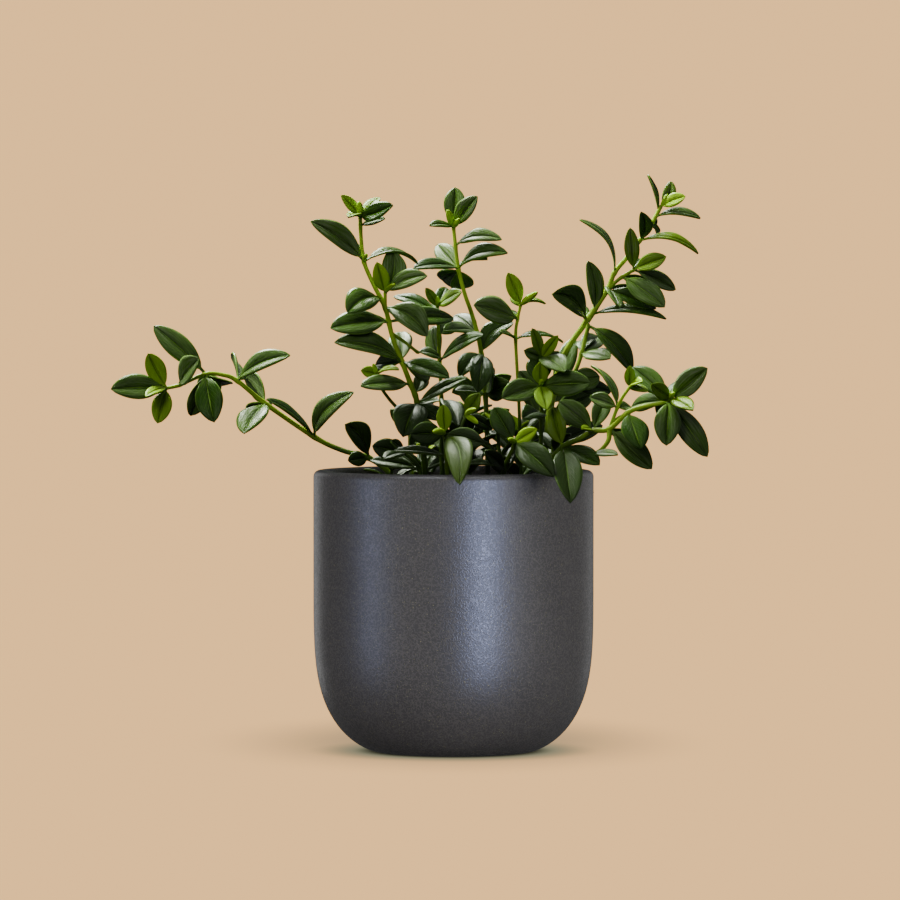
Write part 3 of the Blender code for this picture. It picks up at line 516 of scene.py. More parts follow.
class Nodes:
    """A shader's nodes, and one way to add any of them."""

    def __init__(self, tree):
        self.tree = tree

    def node(self, kind, settings=None, sockets=None, output=0):
        """Add a node, set it up, fill its sockets with values or links, and give its output."""
        made = self.tree.nodes.new(kind)
        for key, value in (settings or {}).items():
            setattr(made, key, value)
        for key, value in (sockets or {}).items():
            self.fill(made.inputs[key], value)
        return Amount(self, made.outputs[output])

    def fill(self, socket, value):
        """Link a socket, or give it a value; a colour comes without its fourth number."""
        if isinstance(value, Amount):
            self.tree.links.new(value.socket, socket)
        elif socket.type == "RGBA":
            socket.default_value = (*value, 1.0)
        else:
            socket.default_value = value

    def parts(self, vector):
        """The three parts of a vector."""
        return [self.node("ShaderNodeSeparateXYZ", {}, {0: vector}, output=k) for k in range(3)]

    def size(self, vector):
        """The length of a vector."""
        settings = {"operation": "LENGTH"}
        return self.node("ShaderNodeVectorMath", settings, {0: vector}, output="Value")

    def step(self, value, low, high):
        """0 at low, 1 at high and a smooth change between them."""
        sockets = {"Value": value, "From Min": low, "From Max": high}
        return self.node("ShaderNodeMapRange", {"interpolation_type": "SMOOTHSTEP"}, sockets)

    def mix(self, factor, first, second):
        """A colour between two others."""
        settings = {"data_type": "RGBA"}
        return self.node("ShaderNodeMix", settings, {0: factor, 6: first, 7: second}, output=2)

    def coats(self, skin, *layers):
        """A colour with others laid over it in turn, each by its own share."""
        for share, over in layers:
            skin = self.mix(share, skin, over)
        return skin


class Paint(Nodes):
    """A material on the Principled shader, and the nodes that vary it over a surface."""

    def __init__(self, name):
        self.material = bpy.data.materials.new(name)
        self.material.use_nodes = True
        super().__init__(self.material.node_tree)
        self.skin = self.tree.nodes["Principled BSDF"]

    def surface(self, **values):
        """Fill the shader's own sockets; Base_Color stands for Base Color."""
        for key, value in values.items():
            self.fill(self.skin.inputs[key.replace("_", " ")], value)

    def number(self, name):
        return self.node("ShaderNodeAttribute", {"attribute_name": name}, output=2)

    def place(self, scale=(1.0, 1.0, 1.0)):
        """The place in the piece's own space, in metres, stretched by a scale."""
        place = self.node("ShaderNodeTexCoord", output="Object")
        return self.node("ShaderNodeMapping", {}, {"Vector": place, "Scale": scale})

    def noise(self, vector, scale, detail=3.0, roughness=0.5):
        sockets = {"Vector": vector, "Scale": scale, "Detail": detail, "Roughness": roughness}
        return self.node("ShaderNodeTexNoise", {}, sockets)

    def finished(self, skin, dullness, height, strength, distance):
        """The material, with its colour, its roughness and its relief in place."""
        sockets = {"Height": height, "Strength": strength, "Distance": distance}
        relief = self.node("ShaderNodeBump", {}, sockets)
        self.surface(Base_Color=skin, Roughness=dullness, Normal=relief)
        return self.material


# Leaves

STALK_SHARE = 0.1
STALK_WIDTH = 0.1
OVAL_FULLNESS = 0.66
LEAF_COLUMNS = 10
LEAF_ROWS = 18
LEAF_TIP_RISE = 0.02
# Across a leaf: each column's place, the share of it that is kept, and its rise
SECTION = (
    (0.0, 1.0, -0.042), (0.1, 0.4, -0.006), (0.2, 0.72, 0.02), (0.3, 0.92, 0.03),
    (0.4, 1.0, 0.022), (0.5, 1.0, -0.016))
# How much leaves differ from one another
LEAF_DOME = (0.7, 1.4)
LEAF_FOLD = (0.06, 0.34)
LEAF_WAVE = (0.0, 0.035)
LEAF_TWIST = (-9, 9)
TWIST_CENTRE = 0.4
WAVES = 9


def outline(v):
    """Half a leaf's width at v, from 0 at its root to 1 at its tip, as a share of the widest."""
    share = max(0.0, (v - STALK_SHARE) / (1 - STALK_SHARE))
    return max(STALK_WIDTH, math.sin(math.pi * share) ** OVAL_FULLNESS)


def model_leaf():
    """The flat leaf that every other is copied from: 1 wide along X and 1 long along Y."""
    nothing_selected()
    bpy.ops.mesh.primitive_grid_add(
        x_subdivisions=LEAF_COLUMNS, y_subdivisions=LEAF_ROWS, size=1, location=(0, 0.5, 0))
    blade = bpy.context.object
    bpy.ops.object.transform_apply(location=True)
    rows = sorted({round(vert.co.y, 4) for vert in blade.data.vertices})
    bpy.ops.object.mode_set(mode="EDIT")
    for x, kept, rise in SECTION:
        pick(lambda co: abs(abs(co.x) - x) < 0.02)
        bpy.ops.transform.resize(value=(kept, 1, 1), center_override=(0, 0, 0))
        bpy.ops.transform.translate(value=(0, 0, rise))
    for y in rows:
        pick(lambda co: abs(co.y - y) < 0.01)
        share = outline(y) if y < 1 else 0.0
        rise = max(share, LEAF_TIP_RISE)
        bpy.ops.transform.resize(value=(share, 1, rise), center_override=(0, y, 0))
    bpy.ops.mesh.select_all(action="SELECT")
    bpy.ops.mesh.remove_doubles(threshold=1e-4)
    bpy.ops.object.mode_set(mode="OBJECT")
    blade.name = "blank_leaf"
    return blade


def model_bud():
    """A closed bud: a ball drawn out to a point, 1 wide and 1 long."""
    nothing_selected()
    bpy.ops.mesh.primitive_uv_sphere_add(
        segments=12, ring_count=10, radius=0.5, location=(0, 0, 0))
    bud = bpy.context.object
    bpy.ops.transform.rotate(value=math.pi / 2, orient_axis="X", center_override=(0, 0, 0))
    bpy.ops.object.transform_apply(rotation=True)
    bpy.ops.object.mode_set(mode="EDIT")
    bpy.ops.mesh.select_all(action="SELECT")
    bpy.ops.transform.translate(value=(0, 0.5, 0))
    bpy.ops.object.mode_set(mode="OBJECT")
    bud.name = "blank_bud"
    return bud


def grow(blank, root, item, luck):
    """A copy of the leaf or bud, bent along its midrib from root to tip."""
    copy = copied(blank)
    flat = np.empty(len(copy.data.vertices) * 3)
    copy.data.vertices.foreach_get("co", flat)
    x, v, z = flat.reshape(-1, 3).T
    bud = item.width <= BUD_WIDTH
    chord = Vector(item.tip) - root
    along = chord.normalized()
    normal = Vector(item.face)
    normal = (normal - along * normal.dot(along)).normalized()
    side = along.cross(normal)
    bow = chord.length * 4 * v * (1 - v)
    dome = 1.0 if bud else luck.uniform(*LEAF_DOME)
    fold = 0.0 if bud else luck.uniform(*LEAF_FOLD)
    wave = 0.0 if bud else luck.uniform(*LEAF_WAVE)
    twist = 0.0 if bud else math.radians(luck.uniform(*LEAF_TWIST))
    across = x * item.width
    ripple = wave * np.sin(v * WAVES + luck.uniform(0, 6)) * (2 * x) ** 2
    up = (z * dome + np.abs(x) * fold + ripple) * item.width
    turn = twist * (v - TWIST_CENTRE)
    level = across * np.cos(turn) - up * np.sin(turn)
    up = across * np.sin(turn) + up * np.cos(turn)
    places = np.array(root)[None, :] + np.outer(v, chord)
    places += np.outer(bow * item.arch + up, normal) + np.outer(bow * item.curl + level, side)
    copy.data.vertices.foreach_set("co", (places * MM).ravel())
    give_number(copy, "youth", item.youth)
    give_number(copy, "tone", luck.random())
    return copy


# Stems

STEM_STEPS = 6
STEM_END = 1.2
STEM_END_SHARE = 0.35
STEM_ROUNDNESS = 3
KNOT_SWELLING = 0.25
KNOT_LENGTH = 0.12


def route_point(route, count):
    """The point at a whole or part count of steps, on a smooth line through a route's points."""
    line = [Vector(point) for point in route]
    line = [line[0] * 2 - line[1], *line, line[-1] * 2 - line[-2]]
    i = min(int(count), len(route) - 2)
    t = count - i
    before, here, after, beyond = line[i:i + 4]
    return 0.5 * (2 * here + (after - before) * t
                  + (2 * before - 5 * here + 4 * after - beyond) * t ** 2
                  + (3 * here - before - 3 * after + beyond) * t ** 3)


def model_stem(shoot, rooted):
    """A tapering shoot with a swelling at each leaf, drawn as a curve and made a mesh."""
    last = len(shoot.route) - 1
    counts = [k / STEM_STEPS for k in range(last * STEM_STEPS + 1)]
    places = [route_point(shoot.route, count) for count in counts]
    places.append(places[-1] + (places[-1] - places[-2]).normalized() * STEM_END)
    counts.append(last)
    if rooted:
        places = [places[0] - Vector((0, 0, depth)) for depth in (ROOT_DEPTH, 1)] + places
        counts = [0, 0] + counts
    curve = bpy.data.curves.new("stem", "CURVE")
    curve.dimensions = "3D"
    curve.bevel_depth = 1.0
    curve.bevel_resolution = STEM_ROUNDNESS
    curve.use_fill_caps = True
    spline = curve.splines.new("POLY")
    spline.points.add(len(places) - 1)
    knots = [item.at for item in shoot.leaves if item.width > BUD_WIDTH]
    for point, place, count in zip(spline.points, places, counts):
        radius = shoot.radii[0] + (shoot.radii[1] - shoot.radii[0]) * count / last
        near = min([abs(count - at) for at in knots], default=1)
        point.co = (*(place * MM), 1)
        swelling = 1 + KNOT_SWELLING * math.exp(-(near / KNOT_LENGTH) ** 2)
        point.radius = radius * swelling * MM
    spline.points[-1].radius *= STEM_END_SHARE
    thing = bpy.data.objects.new("stem", curve)
    bpy.context.scene.collection.objects.link(thing)
    only(thing)
    bpy.ops.object.convert(target="MESH")
    thing = bpy.context.object
    bpy.ops.object.shade_smooth()
    corners = len(thing.data.vertices) // len(counts)
    youth = np.zeros(len(thing.data.vertices))
    youth[:corners * len(counts)] = np.repeat(np.array(counts) / last, corners)
    give_number(thing, "youth", youth * max([item.youth for item in shoot.leaves], default=0))
    return thing


def model_leafy_stem(name, shoots, blanks, looks, paints):
    """One leafy stem: its shoots as tubes, its leaves given their thickness, and its buds."""
    luck = random.Random(name)
    tubes = []
    blades = []
    buds = []
    for number, shoot in enumerate(shoots):
        tubes.append(model_stem(shoot, number == 0))
        for item in shoot.leaves:
            root = route_point(shoot.route, item.at)
            if item.width <= BUD_WIDTH:
                buds.append(grow(blanks["bud"], root, item, luck))
            else:
                blades.append(grow(blanks["leaf"], root, item, luck))
    blade = joined(blades, name)
    blade.data.materials.append(paints["upper"])
    blade.data.materials.append(paints["under"])
    apply_modifier(blade, "SOLIDIFY", thickness=looks.leaf_thickness, offset=0.0, material_offset=1)
    for bud in buds:
        bud.data.materials.append(paints["upper"])
    for tube in tubes:
        tube.data.materials.append(paints["stem"])
    piece = joined([blade, *buds, *tubes], name)
    bpy.ops.object.shade_smooth()
    return piece


# Pot and soil

POT_SIDES = 144
BELLY_POWERS = (4, 2 / 3)
BELLY_RINGS = 26
BELLY_CROWDING = 2.2
LIP_RINGS = 10
BOWL_RINGS = 16
# How far in from its edge the foot stands on the table, and where its hollow begins
FOOT_RING = (0.0045, 0.0055)
FOOT_HOLLOW = 0.0009
MIDDLE = 0.001
SHARP_ANGLE = math.radians(35)
SOIL_SIDES = 180
SOIL_RINGS = 56
SOIL_WALL_RINGS = 12
WALL_GAP = 0.0006
FLOOR_GAP = 0.0003
EDGE = 0.001
CRUMB_EDGE = 0.003
CRUMB_SIZES = (0.35, 1.0)
CRUMB_STRETCH = (0.6, 1.2)
CRUMB_DENTS = (0.8, 1.15)
CRUMB_SEED = 11
CRUMB_DROP = 0.02
EARTH_TONE = 0.35


def pull_rings(profile):
    """From a selected ring, pull out one for each further radius and height, and close the last."""
    for (r0, z0), (r1, z1) in zip(profile, profile[1:]):
        bpy.ops.mesh.extrude_edges_move(TRANSFORM_OT_translate={"value": (0, 0, z1 - z0)})
        bpy.ops.transform.resize(value=(r1 / r0, r1 / r0, 1), center_override=(0, 0, z1))
    bpy.ops.mesh.merge(type="CENTER")


def turn_piece(name, sides, start, *profiles):
    """A closed solid of rings, pulled both ways from a starting ring."""
    nothing_selected()
    radius, height = start
    bpy.ops.mesh.primitive_circle_add(vertices=sides, radius=radius, location=(0, 0, height))
    thing = settle(bpy.context.object, name)
    bpy.ops.object.mode_set(mode="EDIT")
    for profile in profiles:
        pick(lambda co: abs(co.z - height) < 1e-6 and math.hypot(co.x, co.y) > radius - 1e-5)
        pull_rings([start, *profile])
    bpy.ops.mesh.select_all(action="SELECT")
    bpy.ops.mesh.normals_make_consistent(inside=False)
    bpy.ops.object.mode_set(mode="OBJECT")
    return thing


def belly(looks, height):
    """The pot's outer radius: a foot that swells to the straight upper wall."""
    inner, outer = BELLY_POWERS
    swell = (1 - (1 - min(max(height, 0.0) / looks.belly, 1.0)) ** inner) ** outer
    return looks.foot + (looks.radius - looks.foot) * swell


def model_pot(looks):
    """The pot: a swelling wall, a rounded lip, a bowl inside, and a ring to stand on."""
    steps = range(1, BELLY_RINGS + 1)
    heights = [looks.belly * (k / BELLY_RINGS) ** BELLY_CROWDING for k in steps]
    outer = [(belly(looks, z), z) for z in heights]
    top = looks.height - looks.lip
    middle = looks.radius - looks.lip
    lip = []
    for k in range(LIP_RINGS + 1):
        angle = math.pi * k / LIP_RINGS
        lip.append((middle + looks.lip * math.cos(angle), top + looks.lip * math.sin(angle)))
    inner = []
    for k in range(BOWL_RINGS + 1):
        fall = 1 - (1 - k / BOWL_RINGS) ** 2
        z = looks.belly + (looks.floor * 1.5 - looks.belly) * fall
        inner.append((belly(looks, z - looks.floor / 2) - looks.wall, z))
    low = [(inner[-1][0] - looks.floor, looks.floor), (MIDDLE, looks.floor)]
    stands, rises = FOOT_RING
    base = [(looks.foot - stands, 0.0), (looks.foot - rises, FOOT_HOLLOW), (MIDDLE, FOOT_HOLLOW)]
    pot = turn_piece("pot_turned", POT_SIDES, (looks.foot, 0.0), outer + lip + inner + low, base)
    only(pot)
    bpy.ops.object.shade_smooth_by_angle(angle=SHARP_ANGLE)
    return pot


def model_soil(looks, pot):
    """The earth in the pot: crumbly on top, where it shows."""
    radius = belly(pot, pot.height) - pot.wall - WALL_GAP
    rings = [(radius * (1 - k / SOIL_RINGS), SOIL_TOP) for k in range(1, SOIL_RINGS)]
    floor = pot.floor + FLOOR_GAP
    down = [(belly(pot, z - pot.floor / 2) - pot.wall - WALL_GAP, z)
            for z in np.linspace(pot.belly, pot.floor * 1.5, SOIL_WALL_RINGS)]
    low = [(down[-1][0] - pot.floor, floor), (MIDDLE, floor)]
    soil = turn_piece("soil_bed", SOIL_SIDES, (radius, SOIL_TOP), rings, down + low)
    shown = [v.index for v in soil.data.vertices
             if v.co.z > SOIL_TOP - 1e-5 and math.hypot(v.co.x, v.co.y) < radius - EDGE]
    soil.vertex_groups.new(name="top").add(shown, 1.0, "ADD")
    for size, height in ((looks.mound, looks.mound_height), (looks.grain, looks.grain_height)):
        texture = bpy.data.textures.new("soil", "CLOUDS")
        texture.noise_scale = size
        texture.noise_depth = 2
        apply_modifier(soil, "DISPLACE", texture=texture, strength=height, direction="Z",
                       mid_level=0.5, vertex_group="top", texture_coords="LOCAL")
    only(soil)
    bpy.ops.object.shade_smooth()
    give_number(soil, "tone", EARTH_TONE)
    crumbs = [soil]
    luck = random.Random(CRUMB_SEED)
    nothing_selected()
    bpy.ops.mesh.primitive_ico_sphere_add(subdivisions=1, radius=1.0, location=(0, 0, 0))
    blank = bpy.context.object
    for _ in range(looks.crumbs):
        away = (radius - CRUMB_EDGE) * math.sqrt(luck.random())
        angle = luck.uniform(0, 2 * math.pi)
        x = away * math.cos(angle)
        y = away * math.sin(angle)
        _, place, _, _ = soil.ray_cast((x, y, SOIL_TOP + CRUMB_DROP), (0, 0, -1))
        size = looks.crumb_size * luck.uniform(*CRUMB_SIZES)
        crumb = copied(blank)
        stretch = Vector([size * luck.uniform(*CRUMB_STRETCH) for _ in range(3)])
        for vert in crumb.data.vertices:
            vert.co = vert.co * stretch * luck.uniform(*CRUMB_DENTS) + place
        give_number(crumb, "tone", luck.random())
        crumbs.append(crumb)
    bpy.data.objects.remove(blank)
    return joined(crumbs, "soil_bed")


# Finishes

# Where shade is painted on the plant, from none to full, by height and by the square of a distance:
# from the pot's axis, or for the lowest leaves to its side
DEEP_SHADE_AWAY = (0.0032, 0.0013)
DEEP_SHADE_HEIGHT = (0.2, 0.165)
LOW_SHADE_ASIDE = (0.0062, 0.0032)
LOW_SHADE_HEIGHT = (0.185, 0.155)
LOW_SHADE_SHARE = 0.93


def inside(paint):
    """Painted shade by how deep in the plant a point lies: 1 low down at the pot's axis, 0 outside.
    """
    place = paint.node("ShaderNodeTexCoord", output="Object")
    x, y, z = paint.parts(place)
    deep = paint.step(x * x + y * y, *DEEP_SHADE_AWAY) * paint.step(z, *DEEP_SHADE_HEIGHT)
    low = paint.step(x * x, *LOW_SHADE_ASIDE) * paint.step(z, *LOW_SHADE_HEIGHT) * LOW_SHADE_SHARE
    return paint.node("ShaderNodeMath", {"operation": "MAXIMUM"}, {0: deep, 1: low})


# Places across a leaf, from 0 at its midrib to 0.5 at its edge, where a marking starts and is full
RIB_BAND = (0.1, 0.045)
# The band beside the midrib that gets painted shade, from its outer and its inner side
GROOVE_SHADE_OUTSIDE = (0.2, 0.12)
GROOVE_SHADE_INSIDE = (0.08, 0.12)
# The band along the edge that gets a painted highlight
EDGE_HIGHLIGHT_BAND = (0.46, 0.49)
VEIN_BAND = (0.5, 0.1)
VEIN_SLANT = 1.1
VEIN_PITCH = 52
VEIN_CREST = (0.82, 1.0)
FOOT_BAND = (0.34, 0.1)
# How strong each marking is
RIB_SHARE = 0.8
GROOVE_SHADE_SHARE = 0.4
EDGE_HIGHLIGHT_SHARE = 0.45
VEIN_SHARE = 0.16
PAINTED_SHEEN_SHARE = 0.82
# How dense the streaks of a leaf are across and along it, and how far they change by leaf
STREAKS = (15, 2.2, 40)
UPPER_DULLNESS = 0.11
UNDER_DULLNESS = 0.3


def paint_leaf(looks, under):
    """Waxy leaf skin: dark or young green, a pale midrib, faint side veins and a streaky gloss,
    with painted shade deep in the plant and beside the midrib, a painted highlight along the edge
    and streaks of painted sheen.
    """
    paint = Paint("leaf_under" if under else "leaf_upper")
    uv = paint.node("ShaderNodeUVMap", {"uv_map": "UVMap"})
    u, along, _ = paint.parts(uv)
    across = abs(u - 0.5)
    youth = paint.number("youth")
    tone = paint.number("tone")
    blotches = paint.noise(paint.place(), scale=120.0)
    parts = [part * scale for part, scale in zip((across, along, tone), STREAKS)]
    streak_place = paint.node("ShaderNodeCombineXYZ", {}, dict(enumerate(parts)))
    streaks = paint.noise(streak_place, scale=1.0, detail=4.0, roughness=0.6)
    rib = paint.step(across, *RIB_BAND)
    # Painted shade in the shallow furrow beside the midrib
    groove_shade = paint.step(across, *GROOVE_SHADE_OUTSIDE) * paint.step(across, *GROOVE_SHADE_INSIDE)
    vein_wave = ((along - across * VEIN_SLANT) * VEIN_PITCH).sine()
    veins = paint.step(vein_wave, *VEIN_CREST) * paint.step(across, *VEIN_BAND)
    # Painted highlight: a pale line along the edge, where the leaf's rim catches the light
    edge_highlight = paint.step(across, *EDGE_HIGHLIGHT_BAND)
    patches = paint.step(tone * 0.6 + blotches * 0.6, 0.2, 0.9)
    # Painted sheen: greyish streaks laid over the green of some leaves
    painted_sheen = paint.step(streaks, 0.42, 0.72) * paint.step(tone, 0.15, 0.95)
    # Painted shade: deep in the plant and low at the front, leaves turn the shaded green, and their
    # pale lines, pale foot and pale underside fade
    deep = inside(paint)
    # The pale midrib and side veins are the leaf's own colour; the pale edge is a painted highlight
    pale_veins_and_edge_highlight = rib * RIB_SHARE + veins * VEIN_SHARE + edge_highlight * EDGE_HIGHLIGHT_SHARE
    vein_colour = paint.mix(youth, looks.leaf_vein, looks.leaf_young_vein)
    skin = paint.coats(
        looks.leaf_dark,
        (patches, looks.leaf_mid),
        (painted_sheen * PAINTED_SHEEN_SHARE, looks.leaf_painted_sheen),
        (deep, looks.leaf_shaded),
        (youth, looks.leaf_young),
        (groove_shade * GROOVE_SHADE_SHARE, looks.leaf_shaded),
        (pale_veins_and_edge_highlight * (deep * -0.55 + 1.0), vein_colour),
        (paint.step(along, *FOOT_BAND) * (deep * -0.25 + 0.3), vein_colour),
    )
    if under:
        skin = paint.mix(deep * -0.4 + 0.45, skin, looks.leaf_pale)
    pores = paint.noise(paint.place(), scale=1500.0)
    height = streaks * 1.3 + rib * -0.8 + veins * -0.4 + pores * 0.1
    dullness = streaks * 0.42 + deep * 0.1 + (UNDER_DULLNESS if under else UPPER_DULLNESS)
    paint.surface(Specular_IOR_Level=0.5, Specular_Tint=looks.leaf_sheen)
    return paint.finished(skin, dullness, height, strength=0.7, distance=0.0004)


def paint_stem(looks):
    """Smooth green stems, fresher towards the tips, with fine lengthwise flecks, and painted shade
    deep in the plant.
    """
    paint = Paint("stem_skin")
    flecks = paint.noise(paint.place((1.0, 1.0, 0.3)), scale=900.0, detail=4.0)
    patches = paint.noise(paint.place(), scale=90.0)
    skin = paint.coats(
        looks.stem_dark,
        (paint.step(patches, 0.35, 0.7), looks.stem_green),
        (paint.number("youth"), looks.stem_young),
        # Painted shade: stems deep in the plant darken towards the dark leaf green
        (inside(paint) * 0.9, looks.leaf_dark),
        (paint.step(flecks, 0.55, 0.8) * 0.35, looks.leaf_vein),
    )
    dullness = flecks * 0.2 + 0.3
    return paint.finished(skin, dullness, flecks, strength=0.4, distance=0.0002)


def paint_pot(looks):
    """Satin charcoal glaze with a fine leathery wrinkle and pinhead speckles, and a few painted
    yellow glints.
    """
    paint = Paint("charcoal_glaze")
    place = paint.place()
    warp = paint.noise(place, scale=260.0, detail=5.0, roughness=0.65)
    fine = paint.noise(place, scale=1100.0, detail=3.0, roughness=0.7)
    clouds = paint.noise(place, scale=34.0, detail=4.0, roughness=0.55)
    specks = paint.step(paint.noise(place, scale=1700.0, detail=1.0), 0.66, 0.74)
    worms = paint.step(abs(paint.noise(place, scale=600.0, detail=1.0) - 0.5), 0.1, 0.0)
    # Painted glints: a few pale yellow specks in the colour, where the glaze would sparkle
    painted_glints = paint.step(paint.noise(place, scale=2300.0, detail=0.0), 0.79, 0.82)
    skin = paint.coats(
        looks.glaze_dark,
        (clouds, looks.glaze_light),
        (worms * 0.7, looks.glaze_crest),
        (paint.step(fine, 0.5, 0.75) * 0.4, looks.glaze_dark),
        (specks * 0.35, looks.glaze_speck),
        (painted_glints * 0.7, looks.glaze_painted_glints),
    )
    height = warp * 0.3 + worms * 0.5
    dullness = warp * 0.1 + clouds * 0.06 + worms * -0.08 + looks.glaze_roughness
    paint.surface(Specular_IOR_Level=0.5)
    return paint.finished(skin, dullness, height, strength=0.5, distance=0.00012)


def paint_soil(looks):
    """Dark potting earth, crumb by crumb."""
    paint = Paint("potting_earth")
    grains = paint.noise(paint.place(), scale=700.0, detail=5.0, roughness=0.7)
    skin = paint.coats(
        looks.dark,
        (paint.step(paint.number("tone"), 0.3, 1.0), looks.light),
        (paint.step(grains, 0.35, 0.75) * 0.6, looks.dark),
    )
    dullness = grains * 0.3 + 0.65
    return paint.finished(skin, dullness, grains, strength=0.8, distance=0.0006)


def share_of(shares, light):
    """A colour with each of its parts cut to a share of its own."""
    return [share * value for share, value in zip(shares, light)]


# Distances from the pot's axis, in metres, where a zone of the floor starts and is full
FAR_ZONE = (0.3, 1.6)
SHADE_ZONE = (0.138, 0.03)
# Painted shadow: a darker glow near the foot and a dark line under its edge
CONTACT_SHADOW_ZONE = (0.076, 0.044)
CREASE_SHADOW_ZONE = (0.052, 0.037)
# The shade alone is longer from front to back, and its middle lies behind the pot
SHADE_SHIFT = (0.0, -0.035, 0.0)
SHADE_SCALE = (1.0, 0.64, 1.0)


def paint_floor(looks):
    """A matt floor that glows like the surround, with the pot's soft shadow painted on it."""
    paint = Paint("studio_floor")
    place = paint.node("ShaderNodeTexCoord", output="Object")
    away = paint.size(place)
    far = paint.step(away, *FAR_ZONE)
    sockets = {"Vector": place, "Location": SHADE_SHIFT, "Scale": SHADE_SCALE}
    wide = paint.node("ShaderNodeMapping", {}, sockets)
    shade = paint.step(paint.size(wide), *SHADE_ZONE)
    shaded = share_of(looks.shade, looks.floor)
    skin = paint.coats(looks.floor, (far, (0.0, 0.0, 0.0)), (shade, shaded))
    near_glow = [looks.floor_glow * value for value in looks.surround]
    glow = paint.coats(
        near_glow,
        (shade, share_of(looks.shade, near_glow)),
        # Painted shadow: darker close to the pot's foot, and almost black under its edge
        (paint.step(away, *CONTACT_SHADOW_ZONE), looks.contact_shadow),
        (paint.step(away, *CREASE_SHADOW_ZONE), looks.crease_shadow),
        (far, looks.surround),
    )
    paint.surface(Base_Color=skin, Roughness=0.9, Specular_IOR_Level=0.0)
    paint.surface(Emission_Color=glow, Emission_Strength=looks.brightness)
    return paint.material


# Sizes and colours


def length(name, description, default):
    return bpy.props.FloatProperty(
        name=name, description=description, default=default, unit="LENGTH")


def number(name, description, default):
    return bpy.props.FloatProperty(name=name, description=description, default=default)


def hue(name, description, default):
    return bpy.props.FloatVectorProperty(
        name=name, description=description, default=default, size=3, subtype="COLOR", min=0, max=1)


class PotLooks(bpy.types.PropertyGroup):
    radius: length("Radius", "Outer radius of the straight wall", POT_CORNER.x)
    height: length("Height", "From the table to the top of the lip", POT_CORNER.z)
    foot: length("Foot radius", "Radius of the flat that the pot stands on", 0.039)
    belly: length("Belly height", "Height where the wall becomes straight", 0.085)
    wall: length("Wall", "Thickness of the wall", 0.0065)
    floor: length("Floor", "Thickness of the floor", 0.008)
    lip: length("Lip radius", "Radius of the rounded lip", 0.0032)
    glaze_dark: hue("Dark glaze", "The glaze where it pools", (0.066, 0.063, 0.064))
    glaze_light: hue("Light glaze", "The glaze where it is thin", (0.084, 0.080, 0.081))
    glaze_crest: hue("Crests", "The fine wrinkles of the glaze", (0.135, 0.126, 0.125))
    # Painted glints: the colour of the pale yellow specks
    glaze_painted_glints: hue("Sparkle", "A few pale yellow grains", (0.5, 0.46, 0.2))
    glaze_speck: hue("Specks", "The pinhead specks", (0.16, 0.16, 0.18))
    glaze_roughness: number("Roughness", "From glossy to matt", 0.33)


class SoilLooks(bpy.types.PropertyGroup):
    mound: length("Mound size", "Width of the low mounds", 0.018)
    mound_height: length("Mound height", "Rise of the mounds", 0.004)
    grain: length("Grain size", "Width of the small lumps", 0.003)
    grain_height: length("Grain height", "Rise of the small lumps", 0.0022)
    crumb_size: length("Crumb size", "Radius of the largest loose crumb", 0.0021)
    crumbs: bpy.props.IntProperty(name="Crumbs", description="Loose crumbs on top", default=420)
    dark: hue("Dark earth", "Damp earth", (0.012, 0.008, 0.005))
    light: hue("Light earth", "Dry crumbs and bark", (0.05, 0.029, 0.015))


class LeafLooks(bpy.types.PropertyGroup):
    leaf_thickness: length("Leaf thickness", "Thickness of a blade", 0.0009)
    leaf_dark: hue("Dark leaf", "Old leaves", (0.009, 0.033, 0.0008))
    # Painted shade: the green laid on leaves deep in the plant and beside the midrib
    leaf_shaded: hue("Inner leaf", "Leaves deep in the plant", (0.004, 0.011, 0.0008))
    # Painted sheen: the greyish tint laid in streaks over old leaves
    leaf_painted_sheen: hue("Bloom", "The greyish streaks of old leaves", (0.175, 0.208, 0.125))
    leaf_mid: hue("Green leaf", "The lighter patches of old leaves", (0.056, 0.118, 0.014))
    leaf_young: hue("Young leaf", "New leaves and buds", (0.33, 0.58, 0.012))
    leaf_vein: hue("Vein", "Veins of an old leaf", (0.15, 0.29, 0.035))
    leaf_young_vein: hue("Young vein", "Veins of a young leaf", (0.32, 0.55, 0.02))
    leaf_sheen: hue("Sheen", "Tint of the leaf's gloss", (0.88, 1.0, 0.74))
    leaf_pale: hue("Underside", "Tint of the underside", (0.13, 0.19, 0.07))
    stem_dark: hue("Old stem", "The stem near the soil", (0.07, 0.12, 0.004))
    stem_green: hue("Green stem", "The stem among the leaves", (0.23, 0.39, 0.018))
    stem_young: hue("Young stem", "The stem at its tip", (0.36, 0.56, 0.02))


class StageLooks(bpy.types.PropertyGroup):
    surround: hue("Surround", "The plain backdrop", (1.0, 0.570, 0.218))
    # Painted shadow: the floor's glow near the pot's foot, and under the edge of the foot
    contact_shadow: hue("Contact", "The floor's glow close to the pot's foot", (0.165, 0.165, 0.108))
    crease_shadow: hue("Crease", "The floor's glow under the edge of the foot", (0.003, 0.004, 0.002))
    shade: hue("Shade", "Share of the light left around the pot's foot", (0.38, 0.46, 0.66))
    brightness: number("Brightness", "How bright the backdrop is", 1.458)
    floor: hue("Floor", "Paint of the floor", (0.268, 0.151, 0.0585))
    floor_glow: number("Floor glow", "Share of the backdrop's light that the floor gives off", 0.97)
    zenith: hue("Overhead", "Tint of the light from above", (0.97, 1.0, 1.0))
    zenith_light: number("Overhead light", "Strength of the light from above", 0.22)
    horizon_light: number("Level light", "Strength of the light from the sides", 0.12)
    camera_distance: length("Camera distance", "From the pot's axis to the camera", 3.0)
    camera_height: length("Camera height", "Height of the camera above the table", 0.245)
    aim_height: length("Aim height", "Height that the camera looks at", 0.1505)
    offset: length("Offset", "How far the camera stands to the left", 0.00175)
    lens: number("Lens", "Focal length in millimetres", 240.1)


# Operators


